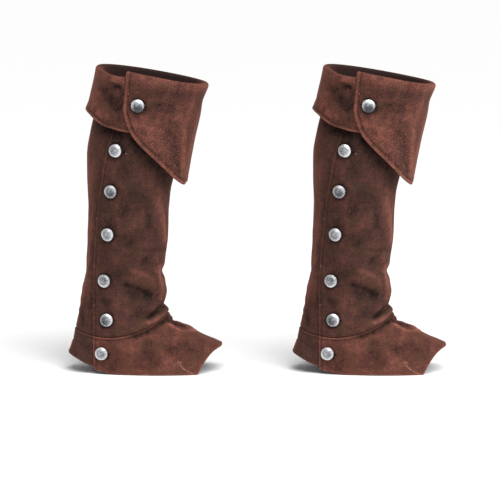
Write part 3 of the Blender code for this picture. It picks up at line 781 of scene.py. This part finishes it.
# ---------------------------------------------------------------- the turned-down cuff
# A wide cuff is sewn to the leg's edge inside the mouth, folds over the rim and hangs down
# outside. Its front is a pointed flap with a rounded corner, which buttons over the end of the
# shorter back piece. Its suede is redder, with a coarser nap and pale flecks.
FOLD_RADIUS = 4.0            # of the middle of the suede where the cuff turns down
RIM_HEIGHT = 14.0            # of the fold's top above the leg's edge
RIM_HALF_LENGTH = 74.9
RIM_HALF_WIDTH = 69.0
FLAP_EDGE = 118.5            # the angle of the flap's free edge
FLAP_SLANT = 3.0             # degrees that it leans to the front at the rim
SLANT_WIDTH = 16.0
SLANT_DROP = 60.0            # how far down it still leans
FLAP_EXTRA = 1.3             # more radius where the flap passes over the back of the cuff
FLAP_COVER = 36.0            # degrees from its edge where that starts
COVER_EASE = 16.0
FLAP_LIFT = 5.0              # the flap's edge stands this much higher on the rim
LIFT_REACH = 110.0           # degrees from its edge where that starts
FRONT_LIFT = 1.6             # and so much higher the middle of its front
FRONT_WIDTH = 42.0
CORNER_DROP = 43.0           # where the flap's free edge starts to round into its lower edge
CORNER_WIDTH = 11.0          # degrees
BACK_SAG = 6.0               # the rim of the cuff's back sags this much behind the flap
SAG_ANGLE = 134.0
SAG_WIDTH = 26.0
# How it hangs, every 20 degrees from the front: drop on the outer side, on the inner side,
# lean outwards for each millimetre down, and how much that lean grows.
HANG_STEP = 20.0
HANG = np.array((
    (142.5, 142.5, -0.30, 0.00055),
    (144.5, 140, -0.27, 0.0004),
    (147, 133, -0.205, 0.0003),
    (140.5, 121, -0.14, 0.0002),
    (124, 106, -0.05, 0),
    (100.5, 91, -0.01, 0),
    (74, 81, 0.03, 0.0002),
    (72, 75, 0.09, 0.0006),
    (64, 67, 0.15, 0.0012),
    (60, 60, 0.17, 0.0016),
))
# Creases of the cuff: from angle, drop, to angle, drop, lift, half width.
CUFF_CREASES = (
    (-34, 24, 34, 20, -2.2, 13),                 # the front draws in below the rim
    (67, 76, 54, 138, -1.2, 6.5),                # soft trough towards the point
    (48, 70, 44, 128, 0.9, 5),
    (80, 51, 50, 48, 0.9, 5),
    (88, 84, 70, 66, -0.8, 7),
    (42, 14, 84, 15, -0.9, 6),
    (98, 62, 84, 96, 0.8, 8),
    (34, 100, 22, 40, 0.9, 8),
    (-40, 40, -66, 90, -1.3, 8),
    (-20, 90, -44, 120, 0.9, 8),
    (-80, 20, -58, 60, 0.7, 8),
    (124, 9, 133, 11, -2, 5),                    # dimple of the sagging back
    (126, -3, 132, 0, 0.8, 4),
    (126, 38, 143, 18, -1.8, 8),
    (128, 50, 142, 44, 0.9, 5),
    (150, 14, 162, 44, 0.9, 7),
    (176, 44, 196, 50, -0.9, 7),
    (214, 20, 226, 62, -1.1, 8),
    (238, 16, 248, 58, 0.9, 8),
)
# Its patches, paler or darker, and painted shade and light at the back's sagging rim, in the same
# way.
CUFF_MARKS = (
    (98, 14, 56, 21, -1.2, 9),                   # dark clouds of the flap
    (92, 36, 64, 39, -2, 13),
    (69, 66, 57, 124, -0.6, 7),
    (108, 71, 92, 55, 1.5, 8),
    (82, 70, 94, 90, 1.1, 9),
    (84, 104, 70, 98, 1.1, 8),
    (38, 16, 50, 66, 1.8, 5),                    # paler front
    (50, 62, 46, 130, 2, 4.5),
    (135, 9, 122, 9, -4.2, 4),                   # painted shade below the sagging rim of the back
    (138, 26, 122, 42, -3.2, 7.5),
    (152, 17, 140, 21, -2, 7),
    # painted shade beside the flap's edge
    (121, 12, 122, 60, -2.4, 3.2),
    # painted highlight on the rim
    (134, 1, 124, 0, 2.6, 3),
    (150, 55, 134, 54, 1.8, 7),
    (160, 30, 156, 50, 1, 6),
    (-38, 30, -60, 60, -1.8, 10),                # the hidden sides' patches
    (-24, 70, -44, 112, 1.4, 8),
    (-76, 56, -62, 84, 1.2, 8),
    (188, 20, 200, 44, -1.8, 8),
    (222, 26, 236, 46, -1.6, 8),
    (206, 52, 224, 56, 1.4, 6),
)
STEP = 0.002                 # the share of the leg over which its direction is taken
UP = np.array((0.0, 0.0, 1.0))


def cuff_face(angle, run, radius, lift, sink):
    """The middle of the cuff's suede: run -1 is its sewn edge, 0 to 1 the fold, then the drop."""
    off = (angle - FLAP_EDGE) / SLANT_WIDTH
    slant = FLAP_SLANT * (1.0 - ease((run - 1.0) / SLANT_DROP))
    turned = angle - slant * np.exp(-off * off)
    level = np.ones_like(turned)
    foot = leg_face(turned, level, False)
    up = unit(foot - leg_face(turned, level - STEP, False))
    beside = leg_face(turned + 0.5, level - STEP, False)
    beside = beside - leg_face(turned - 0.5, level - STEP, False)
    normal = unit(np.cross(beside, up))
    normal = normal * np.sign((normal * way(turned)).sum(axis=-1, keepdims=True))
    c = np.cos(np.radians(turned))
    s = np.sin(np.radians(turned))
    outward = unit(np.stack((c / RIM_HALF_LENGTH, -s / RIM_HALF_WIDTH, 0.0 * c), axis=-1))
    straight = (RIM_HEIGHT - SUEDE / 2.0 - radius + lift)[..., None]
    radius = radius[..., None]
    falls = np.maximum(run - 1.0, 0.0)
    run = run[..., None]
    start = foot - normal * (SUEDE / 2.0 + sink)[..., None]
    inside = start + up * (GAP + (straight - GAP) * (run + 1.0))
    center = start + up * straight + outward * radius
    turn = np.pi * np.clip(run, 0.0, 1.0)
    over = center - outward * radius * np.cos(turn) + UP * radius * np.sin(turn)
    drop = falls[..., None]
    _, _, lean, flare = (x[..., None] for x in along(HANG, np.abs(from_toe(turned)) / HANG_STEP))
    hanging = center + outward * (radius + lean * drop + flare * drop * drop) - UP * drop
    points = np.where(run <= 0.0, inside, np.where(run <= 1.0, over, hanging))
    relief = fold_relief(CUFF_CREASES, angle, falls) * ease(falls / 10.0 + 0.1)
    relief = relief + 0.3 * undulation(points) * ease((run[..., 0] + 1.0) * 2.0)
    relief += button_pull("cuff", angle, falls) * ease(falls / 10.0)
    away = np.where(run <= 0.5, -outward, outward)
    return points + away * relief[..., None]


def cuff_drop(angle):
    """How long the cuff is below its fold, all round."""
    outer, inner, _, _ = along(HANG, np.abs(from_toe(angle)) / HANG_STEP)
    return np.where(from_toe(angle) > 0.0, outer, inner)


def flap_drop(angle):
    """The flap's own length, with its rounded corner."""
    inside = np.clip((FLAP_EDGE - angle) / CORNER_WIDTH, 0.0, 1.0)
    corner = np.sqrt(1.0 - (1.0 - inside) ** 2)
    return CORNER_DROP + (cuff_drop(angle) - CORNER_DROP) * corner


def flap_face(angle, run):
    """The middle of the flap's suede, which passes over the back of the cuff at its edge."""
    cover = ease((angle - FLAP_EDGE + FLAP_COVER) / COVER_EASE)
    lift = FLAP_LIFT * ease(1.0 - (FLAP_EDGE - angle) / LIFT_REACH)
    lift = lift + FRONT_LIFT * np.exp(-(from_toe(angle) / FRONT_WIDTH) ** 2)
    return cuff_face(angle, run, FOLD_RADIUS + FLAP_EXTRA * cover, lift, np.zeros_like(angle))


def back_cuff_face(angle, run):
    """The middle of the shorter back piece, which sags at the rim and passes below the flap."""
    sink = lap_dip(angle - FLAP_EDGE)
    sag = -BACK_SAG * np.exp(-((angle - SAG_ANGLE) / SAG_WIDTH) ** 2)
    return cuff_face(angle, run, FOLD_RADIUS + sink / 2.0, sag, sink)


def cuff_wall(name, face, angle, drop, hanging, sewn, inset, specks, tucked=0):
    """The wall of a piece of the cuff, to both sides of the middle of its suede.

    The first columns may be tucked below another piece: they hang, but aren't sewn in the mouth.
    """
    inside = np.sort(np.append(stops(5, 20.0, last=False)[:-1] - 1.0, (-0.3, -0.1)))
    fold = np.linspace(0.0, 1.0, 13)[:-1]
    lower = stops(hanging, 110.0, first=False)
    rows = [np.full_like(angle, run) for run in (*inside, *fold)]
    runs = np.array(rows + [1.0 + drop * share for share in lower])
    angles = np.tile(angle, (len(runs), 1))
    middle = face(angles, runs)
    normals = unit(np.cross(np.gradient(middle, axis=1), np.gradient(middle, axis=0)))
    hangs = runs > 1.5
    normals *= np.sign((normals * way(angles)).sum(axis=-1)[hangs].mean())
    falls = np.maximum(runs - 1.0, 0.0)
    keep = np.ones((len(runs) - 1, len(angle) - 1), bool)
    keep[:len(rows) + TUCK_ROWS, :tucked] = False
    sides = {"first column": middle[:, tucked], "last column": middle[:, -1],
             "first row": middle[0], "last row": middle[-1]}
    reach = {side: distance_to(middle, line) for side, line in sides.items()}
    cut = [reach[side] for side in sides if not (tucked and side.startswith("first"))]
    near = np.minimum.reduce(cut + [distance_to(middle, middle[:, 0])])
    free = np.minimum.reduce([reach[side] for side in sewn])
    groove = np.exp(-((free - inset) / 1.5) ** 2) * (runs > 0.3)
    # The free edges are painted pale, unevenly: partly rubbed wear, partly a painted highlight.
    pale = np.exp(-(free / (0.68 * inset)) ** 2.4) * (runs > 0.2)
    pale = pale * np.clip(0.75 + 0.45 * undulation(1.7 * middle), 0.1, 1.3)
    outer = middle + normals * (SUEDE / 2.0 - GROOVE * groove)[..., None]
    inner = middle - normals * SUEDE / 2.0
    # The cuff's tone: painted shade and light of its creases, the stitches' grooves painted
    # darker as shade, its patches and painted shade round its button.
    tone = fold_relief(CUFF_CREASES, angles, falls) * ease(falls / 10.0) - 1.5 * groove
    tone += fold_relief(CUFF_MARKS, angles, falls) + button_shade("cuff", angles, falls)
    # A paler band just below the fold: the redder nap there, and a painted highlight where the
    # rim catches the light.
    tone += 1.4 * np.exp(-((falls - 1.0) / 7.0) ** 2) * (runs > 0.4)
    # The nap side inside the mouth, down to the fold's middle, takes the dark inner colour too,
    # as painted shade.
    dark = 1.0 - ease((runs - 0.34) / 0.22)
    painted = {"fold": (tone, 0.0), "cut": (pale, pale), "flesh": (dark, 1.0),
               "speck": (specks(angles, falls), 0.0)}
    lines = [inset_row(outer, normals, free, inset, side) for side in sewn]
    return wall(name, outer, inner, near, painted, keep), lines, middle


FLAP_INSET = 6.3             # of the row of stitches from the flap's free edges
BACK_INSET = 5.0
TUCK_ROWS = 8                # of the tucked end, below the rim, that are left out
FLAP_ROWS = 84
FLAP_COLUMNS = 165
CUFF_ROWS = 40
CUFF_COLUMNS = 96
cuff_suede = suede_look("redder suede of the cuff", (0.023, 0.0118, 0.0096),
                        (0.076, 0.0285, 0.0215), (0.205, 0.0710, 0.0520), 1.0, 0.8, 0.50)


def flap_specks(angle, falls):
    """How many pale flecks the flap has: most low down, at its outer side and along the rim."""
    low = ease((falls - 48.0) / 40.0) * ease((falls + angle - 95.0) / 60.0)
    rim = np.exp(-(falls / 9.0) ** 2)
    return np.clip(0.22 + 0.8 * low + 0.5 * rim, 0.0, 1.0)


def back_specks(angle, falls):
    """The back of the cuff has few, and the same all over."""
    return np.full_like(angle, 0.25)


share = stops(FLAP_COLUMNS, 275.0)
share = share * (0.6 + 0.4 * share)
angle = FLAP_EDGE + (INNER_SEAM - PRESSED - 360.0 - FLAP_EDGE) * share
mesh, flap_lines, flap_grid = cuff_wall("pointed flap", flap_face, angle, flap_drop(angle),
                                        FLAP_ROWS, ("first column", "last row"), FLAP_INSET,
                                        flap_specks)
mesh.materials.append(cuff_suede)
cuff_flap = on_both("suede_cuff_flap", mesh, "cuff_flap")

# Its end runs on below the flap, and its edge drops as far as this every 10 degrees from 110.
tucked = np.linspace(FLAP_EDGE - 17.4, FLAP_EDGE, 13)[:-1]
start = FLAP_EDGE + 0.1
angle = start + (INNER_SEAM + PRESSED - start) * stops(CUFF_COLUMNS, 195.0)
angle = np.concatenate((tucked, angle))
side_drop = np.array((75.2, 73.8, 72.2, 70.6, 66.8, 62.8, 61.2, 60.0))[:, None]
drop = np.where(angle < 180.0, along(side_drop, (angle - 110.0) / 10.0)[0], cuff_drop(angle))
mesh, back_lines, back_grid = cuff_wall("back of the cuff", back_cuff_face, angle, drop,
                                        CUFF_ROWS, ("last row",), BACK_INSET, back_specks,
                                        len(tucked))
mesh.materials.append(cuff_suede)
cuff_back = on_both("suede_cuff_back", mesh, "cuff_back")

# Painted shadow below the cuff: the leg's suede is coloured darker close to the cuff's edge,
# where
# the cuff shades it. The numbers: the cuff's edge, how dark, and how far it stays so and then
# takes to fade. Both covers share these meshes, so it is painted once.
flap_line = np.concatenate((flap_grid[::-1][:, 0][:60], flap_grid[-1]))
CUFF_SHADOWS = ((flap_line, 10.0, 8.0, 6.0), (back_grid[-1], 6.4, 6.0, 8.5))
for leg in (leg_front[1].data, leg_back[1].data):
    place = np.array([v.co[:] for v in leg.vertices])[:, None] / MM
    painted_shadow = np.zeros(len(place))
    for line, dark, stays, fades in CUFF_SHADOWS:
        past = np.maximum(distance_to(place, line)[:, 0] - stays, 0.0)
        painted_shadow = np.maximum(painted_shadow, dark * np.exp(-past / fades))
    tones = np.zeros(len(place), np.float32)
    leg.attributes["fold"].data.foreach_get("value", tones)
    leg.attributes["fold"].data.foreach_set("value", (tones - painted_shadow).astype(np.float32))

# ---------------------------------------------------------------- stitching
# Rows of brown thread hold the free edges and the lapped ankle seam, one short stitch after
# another, each drawn down into the suede at both ends. Here and there a paler end sticks out.
THREAD = 0.6                 # thickness, and of the finer and the frayed thread
FINE_THREAD = 0.5
FRAYED_THREAD = 0.75
THREAD_SIDES = 6
PITCH = 3.4                  # from one stitch to the next
STITCH = 2.6                 # length of one
# Along a stitch: share of its length, share of the thread's thickness, height over the suede.
STITCH_BEND = ((0.0, 0.5, -0.35), (0.2, 0.95, 0.16), (0.5, 1.0, 0.28), (0.8, 0.95, 0.16),
               (1.0, 0.5, -0.35))


def thread_look(name, dark, light):
    """Twisted sewing thread, faded in places."""
    material, shader, look, place = new_material(name, 0.85, 0.1)
    twist = look.node("TexWave", {"bands_direction": "DIAGONAL"},
                      {"Vector": place, "Scale": 900.0, "Distortion": 1.0}, "Fac")
    worn = look.noise(place, 90.0, 3.0, 0.6).clamped(0.48, 0.72)
    look.mixed(worn, (*dark, 1.0), (*light, 1.0)).feed(shader, "Base Color")
    bump = look.node("Bump", {}, {"Strength": 0.5, "Distance": 0.0002, "Height": twist})
    bump.feed(shader, "Normal")
    return material


def stitches_along(points, normals):
    """Start, end and outward way of each stitch of a row along a line."""
    length = np.concatenate(((0.0,), np.linalg.norm(np.diff(points, axis=0), axis=1).cumsum()))
    middle = np.arange(0.5 * PITCH, length[-1] - 0.5 * PITCH, PITCH)
    middle = middle + 0.15 * np.sin(2.4 * np.arange(len(middle)))

    def at(where, values):
        return np.stack([np.interp(where, length, values[:, i]) for i in range(3)], axis=1)

    return np.stack((at(middle - STITCH / 2.0, points), at(middle + STITCH / 2.0, points),
                     unit(at(middle, normals))), axis=1)


def ring_faces(rings, sides):
    """The faces of a tube through rings of points."""
    faces = []
    for ring in range(rings - 1):
        for side in range(sides):
            a = ring * sides + side
            b = ring * sides + (side + 1) % sides
            faces.append((a, b, b + sides, a + sides))
    return faces


def threads(name, stitches, thick, material):
    """Stitches as one joined mesh of short threads, on both covers."""
    start, end, normal = stitches[:, 0], stitches[:, 1], stitches[:, 2]
    beside = np.cross(normal, unit(end - start))
    turn = np.linspace(0.0, 2.0 * np.pi, THREAD_SIDES, endpoint=False)
    around = beside[:, None] * np.cos(turn)[:, None] + normal[:, None] * np.sin(turn)[:, None]
    rings = []
    for part, size, high in STITCH_BEND:
        middle = start + (end - start) * part + normal * high
        rings.append(middle[:, None] + around * thick / 2.0 * size)
    corners = np.stack(rings, axis=1).reshape(-1, 3)
    each = len(rings) * THREAD_SIDES
    one = ring_faces(len(rings), THREAD_SIDES)
    one += [tuple(range(THREAD_SIDES))[::-1], tuple(range(each - THREAD_SIDES, each))]
    faces = [tuple(i + each * k for i in face) for k in range(len(stitches)) for face in one]
    mesh = bpy.data.meshes.new(name)
    mesh.from_pydata((corners * MM).tolist(), [], faces)
    mesh.shade_smooth()
    mesh.materials.append(material)
    return on_both(name, mesh)


brown_thread = thread_look("brown sewing thread", (0.034, 0.0155, 0.0115), (0.130, 0.056, 0.041))
flap_lines[0] = [values[8:] for values in flap_lines[0]]     # not over the rim


def sew(name, lines):
    """The stitches of a piece's rows, on both covers."""
    stitches = np.concatenate([stitches_along(*line) for line in lines])
    return threads(name, stitches, THREAD, brown_thread)


leg_thread = sew("leg_stitching", leg_rows)
foot_thread = sew("foot_stitching", foot_rows)
heel_thread = sew("heel_stitching", heel_rows)
flap_thread = sew("flap_stitching", flap_lines)
back_thread = sew("cuff_stitching", back_lines)

# ---------------------------------------------------------------- the buttons
# Seven domed metal shank buttons hold each cover shut. They are cast, beaten with small dents
# and finished as antique silver: the hollows stay dull and dark, the high places are bright.
DOME_RINGS = 52
DOME_SIDES = 72
DENTS = 40
DENTED_RADIUS = 7.4
# Turned profile from the shank up and over the dome: radius, height above the suede.
DOME_PROFILE = np.array((
    (2.6, -1.0), (2.6, 1.7), (6.0, 1.9), (8.6, 2.0), (9.4, 2.2), (9.8, 2.6), (9.85, 3.0),
    (9.7, 3.45), (9.3, 3.85), (8.8, 4.1), (8.2, 4.4), (7.3, 5.0), (6.3, 5.6), (5.1, 6.1),
    (3.9, 6.45), (2.7, 6.7), (1.4, 6.85), (0.5, 6.9),
))
dice = np.random.default_rng(5)
dent_turn = dice.uniform(0.0, 2.0 * np.pi, DENTS)
dent_out = DENTED_RADIUS * np.sqrt(dice.uniform(0.0, 1.0, DENTS))
dent_size = dice.uniform(0.9, 1.7, DENTS)
dent_deep = dice.uniform(0.12, 0.34, DENTS)
outline = along(DOME_PROFILE, np.linspace(0.0, len(DOME_PROFILE) - 1.0, DOME_RINGS)).T
turns = np.linspace(0.0, 2.0 * np.pi, DOME_SIDES, endpoint=False)
uneven = 1.0 + 0.012 * np.sin(3.0 * turns + 0.6) + 0.008 * np.sin(5.0 * turns + 2.0)
x = outline[:, :1] * np.cos(turns) * uneven
y = outline[:, :1] * np.sin(turns) * uneven
z = np.repeat(outline[:, 1:], DOME_SIDES, axis=1)
hollow = np.zeros_like(x)
for turn, out, size, deep in zip(dent_turn, dent_out, dent_size, dent_deep):
    off = np.hypot(x - out * math.cos(turn), y - out * math.sin(turn)) / size
    hollow = np.maximum(hollow, deep * np.exp(-off * off))
hollow *= ease((z - 3.0) / 0.8)
corners = np.stack((x, y, z - hollow), axis=-1).reshape(-1, 3)
# A point in the middle of the top and one below the shank close it.
poles = ((0.0, 0.0, DOME_PROFILE[-1, 1]), (0.0, 0.0, DOME_PROFILE[0, 1]))
corners = np.concatenate((corners, poles))
faces = ring_faces(DOME_RINGS, DOME_SIDES)
top = (DOME_RINGS - 1) * DOME_SIDES
for side in range(DOME_SIDES):
    after = (side + 1) % DOME_SIDES
    faces.append((top + side, top + after, len(corners) - 2))
    faces.append((after, side, len(corners) - 1))


def silver_look(name, tarnish, one_side_shade):
    """Antique silver, more or less tarnished, and darkened towards one side as painted shade."""
    material, shader, look, place = new_material(name, 0.5, 0.5)
    silver = (0.70, 0.71, 0.73, 1.0)
    tarnished = (0.085, 0.088, 0.098, 1.0)
    across = look.node("SeparateXYZ", {}, {"Vector": place}, 1)
    patches = look.noise(place, 300.0, 3.0, 0.6)
    grit = look.noise(place, 1500.0, 2.0, 0.6)
    out = place.vector("LENGTH", place, (0.0, 0.0, 0.0), 1)
    rubbed = out.clamped(0.0078, 0.0092) * (1.0 - out.clamped(0.0099, 0.0104))
    age = (patches - 0.5) * 0.9 + tarnish + look.painted("hollow") * 1.1 + (grit - 0.5) * 1.0
    # One side takes the tarnished colour as painted shade; the rim is rubbed bright.
    age = (age - across * one_side_shade * 100.0 - rubbed * 0.4).clamped(0.0, 1.0)
    look.mixed(age, silver, tarnished).feed(shader, "Base Color")
    (0.42 + age * 0.2).feed(shader, "Roughness")
    bump = look.node("Bump", {}, {"Strength": 0.7, "Distance": 0.0003, "Height": grit + patches})
    bump.feed(shader, "Normal")
    shader.inputs["Metallic"].default_value = 1.0
    return material


# How tarnished each finish is, and how much painted shade darkens its lower side as made, before
# it is turned.
SILVERS = {"bright": (0.49, 0.15), "worn": (0.58, 0.20), "patchy": (0.72, 0.35),
           "dark": (0.78, 0.75)}
domes = {}
for name, (tarnish, one_side_shade) in SILVERS.items():
    mesh = bpy.data.meshes.new(name + " beaten dome button")
    mesh.from_pydata((corners * MM).tolist(), [], faces)
    dull = mesh.attributes.new("hollow", "FLOAT", "POINT")
    dull.data.foreach_set("value", np.append(hollow.ravel(), (0.0, 0.0)).astype(np.float32))
    mesh.shade_smooth()
    mesh.materials.append(silver_look(name + " antique silver", tarnish, one_side_shade))
    domes[name] = mesh
# Which finish each button has, and how far it is turned.
FINISH = {"button_cuff": ("dark", 10.0), "button_1": ("bright", -60.0),
          "button_2": ("patchy", 30.0), "button_3": ("bright", 15.0), "button_4": ("worn", 130.0),
          "button_5": ("patchy", -40.0), "button_6": ("bright", 80.0)}


def surface(piece, angle, place, fine=False):
    """Points of the suede at a height, share or drop, and the way out of the suede there."""
    step = STEP
    if piece == "leg":
        levels = np.linspace(0.0, 1.0, 4001)
        heights = leg_face(np.full_like(levels, angle[0]), levels, False)[:, 2]
        place = np.interp(place, heights, levels)
    if piece == "cuff":
        place = place + 1.0
        step = 4.0

    def face(angle, place):
        if piece == "cuff":
            return flap_face(angle, place)
        return (leg_face if piece == "leg" else foot_face)(angle, place, fine)

    around = face(angle + 0.5, place) - face(angle - 0.5, place)
    down = face(angle, place + step) - face(angle, place - step)
    normals = unit(np.cross(around, down))
    normals *= np.sign((normals * way(angle)).sum(axis=-1, keepdims=True))
    points = face(angle, place)
    if piece == "cuff":
        points = points + normals * SUEDE / 2.0
    return points, normals


for name, piece, angle, place in BUTTONS:
    points, normals = surface(piece, np.array([angle]), np.array([place]))
    point, normal = Vector(points[0]), Vector(normals[0])
    right = Vector(UP).cross(normal).normalized()
    facing = Matrix((right, normal.cross(right), normal)).transposed().to_4x4()
    finish, turned = FINISH[name]
    spin = Matrix.Rotation(math.radians(turned), 4, "Z")
    on_both("silver_" + name, domes[finish], name,
            Matrix.Translation(point * MM) @ facing @ spin)

# ---------------------------------------------------------------- the buttonholes
# Each button comes through a level slit, bound with close stitches; the slit's opening is a dark
# sheet just over the suede, as painted shade. At the top of the leg and on the foot the slit has
# slipped forward from below the button, so that more of its end shows.
SLIT = 24.0                  # length
SLIPPED = {"button_1": 1.9, "button_6": 0.9}
SLIT_OPEN = 0.9              # half its width
SLIT_PROUD = 0.12            # how far its sheet of painted shade lies over the suede
END_OPEN = 0.75              # half the width that its stretched end adds
END_AT = 10.4                # and where, along the slit
END_WIDTH = 1.2
BOUND = 1.4                  # length of the binding's stitches
slit_corners = []
slit_faces = []
binding = []
for name, piece, angle, place in BUTTONS:
    run = np.linspace(-SLIT / 2.0, SLIT / 2.0, 25)
    angles = angle - (run + SLIPPED.get(name, 0.0)) / PER_DEGREE[piece]
    points, normals = surface(piece, angles, np.full_like(angles, place), True)
    upward = np.cross(normals, unit(np.gradient(points, axis=0)))
    upward *= np.sign(upward[:, 2:])
    open_by = SLIT_OPEN * np.sqrt(np.clip(1.0 - (2.0 * run / SLIT) ** 4, 0.0, 1.0))
    open_by = (open_by + END_OPEN * np.exp(-((run - END_AT) / END_WIDTH) ** 2))[:, None]
    first = len(slit_corners)
    over = points + normals * SLIT_PROUD
    for low, high in zip(over - upward * open_by, over + upward * open_by):
        slit_corners += [low, high]
    for a in range(first, len(slit_corners) - 2, 2):
        slit_faces.append((a, a + 2, a + 3, a + 1))
    for side in (-1.0, 1.0):
        starts = points + upward * side * (open_by + 0.1)
        ends = points + upward * side * (open_by + 0.1 + BOUND)
        binding.append(np.stack((starts, ends, normals), axis=1))
mesh = bpy.data.meshes.new("slits of the buttonholes")
mesh.from_pydata((np.array(slit_corners) * MM).tolist(), [], slit_faces)
slit_shade, shader, look, place = new_material("painted shade of the slits", 0.95, 0.0)
speckle = look.noise(place, 1500.0)
color = look.mixed(speckle, (0.004, 0.003, 0.003, 1.0), (0.020, 0.012, 0.010, 1.0))
color.feed(shader, "Base Color")
mesh.materials.append(slit_shade)
on_both("buttonhole_slits", mesh)
threads("buttonhole_stitching", np.concatenate(binding), FINE_THREAD, brown_thread)

# Loose pale ends of thread: piece, angle, height or drop, how far it reaches forward and up.
LOOSE_ENDS = (
    ("leg", 99.2, 336.4, 1.6, -2.6), ("leg", 99.9, 335.0, 2.4, -0.6),
    ("cuff", 114.2, 24.0, 0.5, -2.6), ("cuff", 42.0, 1.5, 2.2, 0.8),
    ("cuff", 85.0, 1.2, 2.4, 0.3), ("cuff", 50.0, 1.6, -1.8, 0.6),
    ("leg", 141.0, 160.0, 0.6, 2.2), ("leg", 138.6, 236.0, 0.5, -2.4),
    ("leg", 133.2, 102.0, 0.8, 1.8),
)
LOOSE_PROUD = 0.35           # how far they lie over the suede
ends = []
for piece, angle, place, length, rise in LOOSE_ENDS:
    points, normals = surface(piece, np.array([angle]), np.array([place]), True)
    near = points[0] + normals[0] * LOOSE_PROUD
    far = near + np.cross(UP, normals[0]) * length + UP * rise
    ends.append((near, far, normals[0]))
pale_thread = thread_look("pale thread ends", (0.24, 0.15, 0.12), (0.42, 0.31, 0.26))
threads("loose_thread_ends", np.array(ends), FRAYED_THREAD, pale_thread)

# ---------------------------------------------------------------- floor, light and camera
# A plain pale floor, broad soft light from high on the right, a soft box overhead, weaker ones
# to the sides, and a camera that looks a little down from straight in front.
FLOOR = 20.0                 # metres from the middle to its edges
FLOOR_LEVEL = -0.1009
ground = [(x * FLOOR, y * FLOOR, FLOOR_LEVEL) for x, y in ((-1, -1), (1, -1), (1, 1), (-1, 1))]
floor_mesh = bpy.data.meshes.new("floor")
floor_mesh.from_pydata(ground, [], [(0, 1, 2, 3)])
floor = bpy.data.objects.new("floor", floor_mesh)
bpy.context.scene.collection.objects.link(floor)
paper = bpy.data.materials.new("white paper floor")
paper.use_nodes = True
shader = paper.node_tree.nodes["Principled BSDF"]
shader.inputs["Base Color"].default_value = (0.93, 0.93, 0.93, 1.0)
shader.inputs["Roughness"].default_value = 0.9
shader.inputs["Specular IOR Level"].default_value = 0.0
floor_mesh.materials.append(paper)


def soft_light(name, size, power, location):
    """A soft box of a size and power in watts, turned to the covers."""
    lamp = bpy.data.lights.new(name, "AREA")
    lamp.shape = "RECTANGLE"
    lamp.size, lamp.size_y = size
    lamp.energy = power
    thing = bpy.data.objects.new(name, lamp)
    thing.location = location
    aim = Vector((0.19, 0.0, 0.1)) - Vector(location)
    thing.rotation_euler = aim.to_track_quat("-Z", "Y").to_euler()
    bpy.context.scene.collection.objects.link(thing)


sun = bpy.data.lights.new("broad_key", "SUN")
sun.energy = 2.8
sun.angle = math.radians(46.0)
key = bpy.data.objects.new("broad_key", sun)
key.rotation_euler = Vector((-0.26, 0.62, -0.92)).to_track_quat("-Z", "Y").to_euler()
bpy.context.scene.collection.objects.link(key)
soft_light("overhead", (1.2, 0.8), 9.0, (0.25, -0.9, 1.7))
soft_light("right_side", (0.9, 1.2), 16.0, (1.9, -0.5, 0.7))
soft_light("left_side", (0.8, 1.2), 3.0, (-1.6, -0.9, 0.8))
world = bpy.data.worlds.new("studio")
world.use_nodes = True
air = world.node_tree.nodes["Background"]
air.inputs["Color"].default_value = (1.0, 1.0, 1.0, 1.0)
air.inputs["Strength"].default_value = 0.33
bpy.context.scene.world = world
bpy.context.scene.view_settings.view_transform = "Standard"

lens = bpy.data.cameras.new("camera")
lens.lens = 211.2
lens.sensor_width = 36.0
lens.clip_end = 60.0
camera = bpy.data.objects.new("camera", lens)
camera.location = (0.19275, -4.3458, 0.7696)
camera.rotation_euler = (math.radians(81.0), 0.0, 0.0)
bpy.context.scene.collection.objects.link(camera)
bpy.context.scene.camera = camera
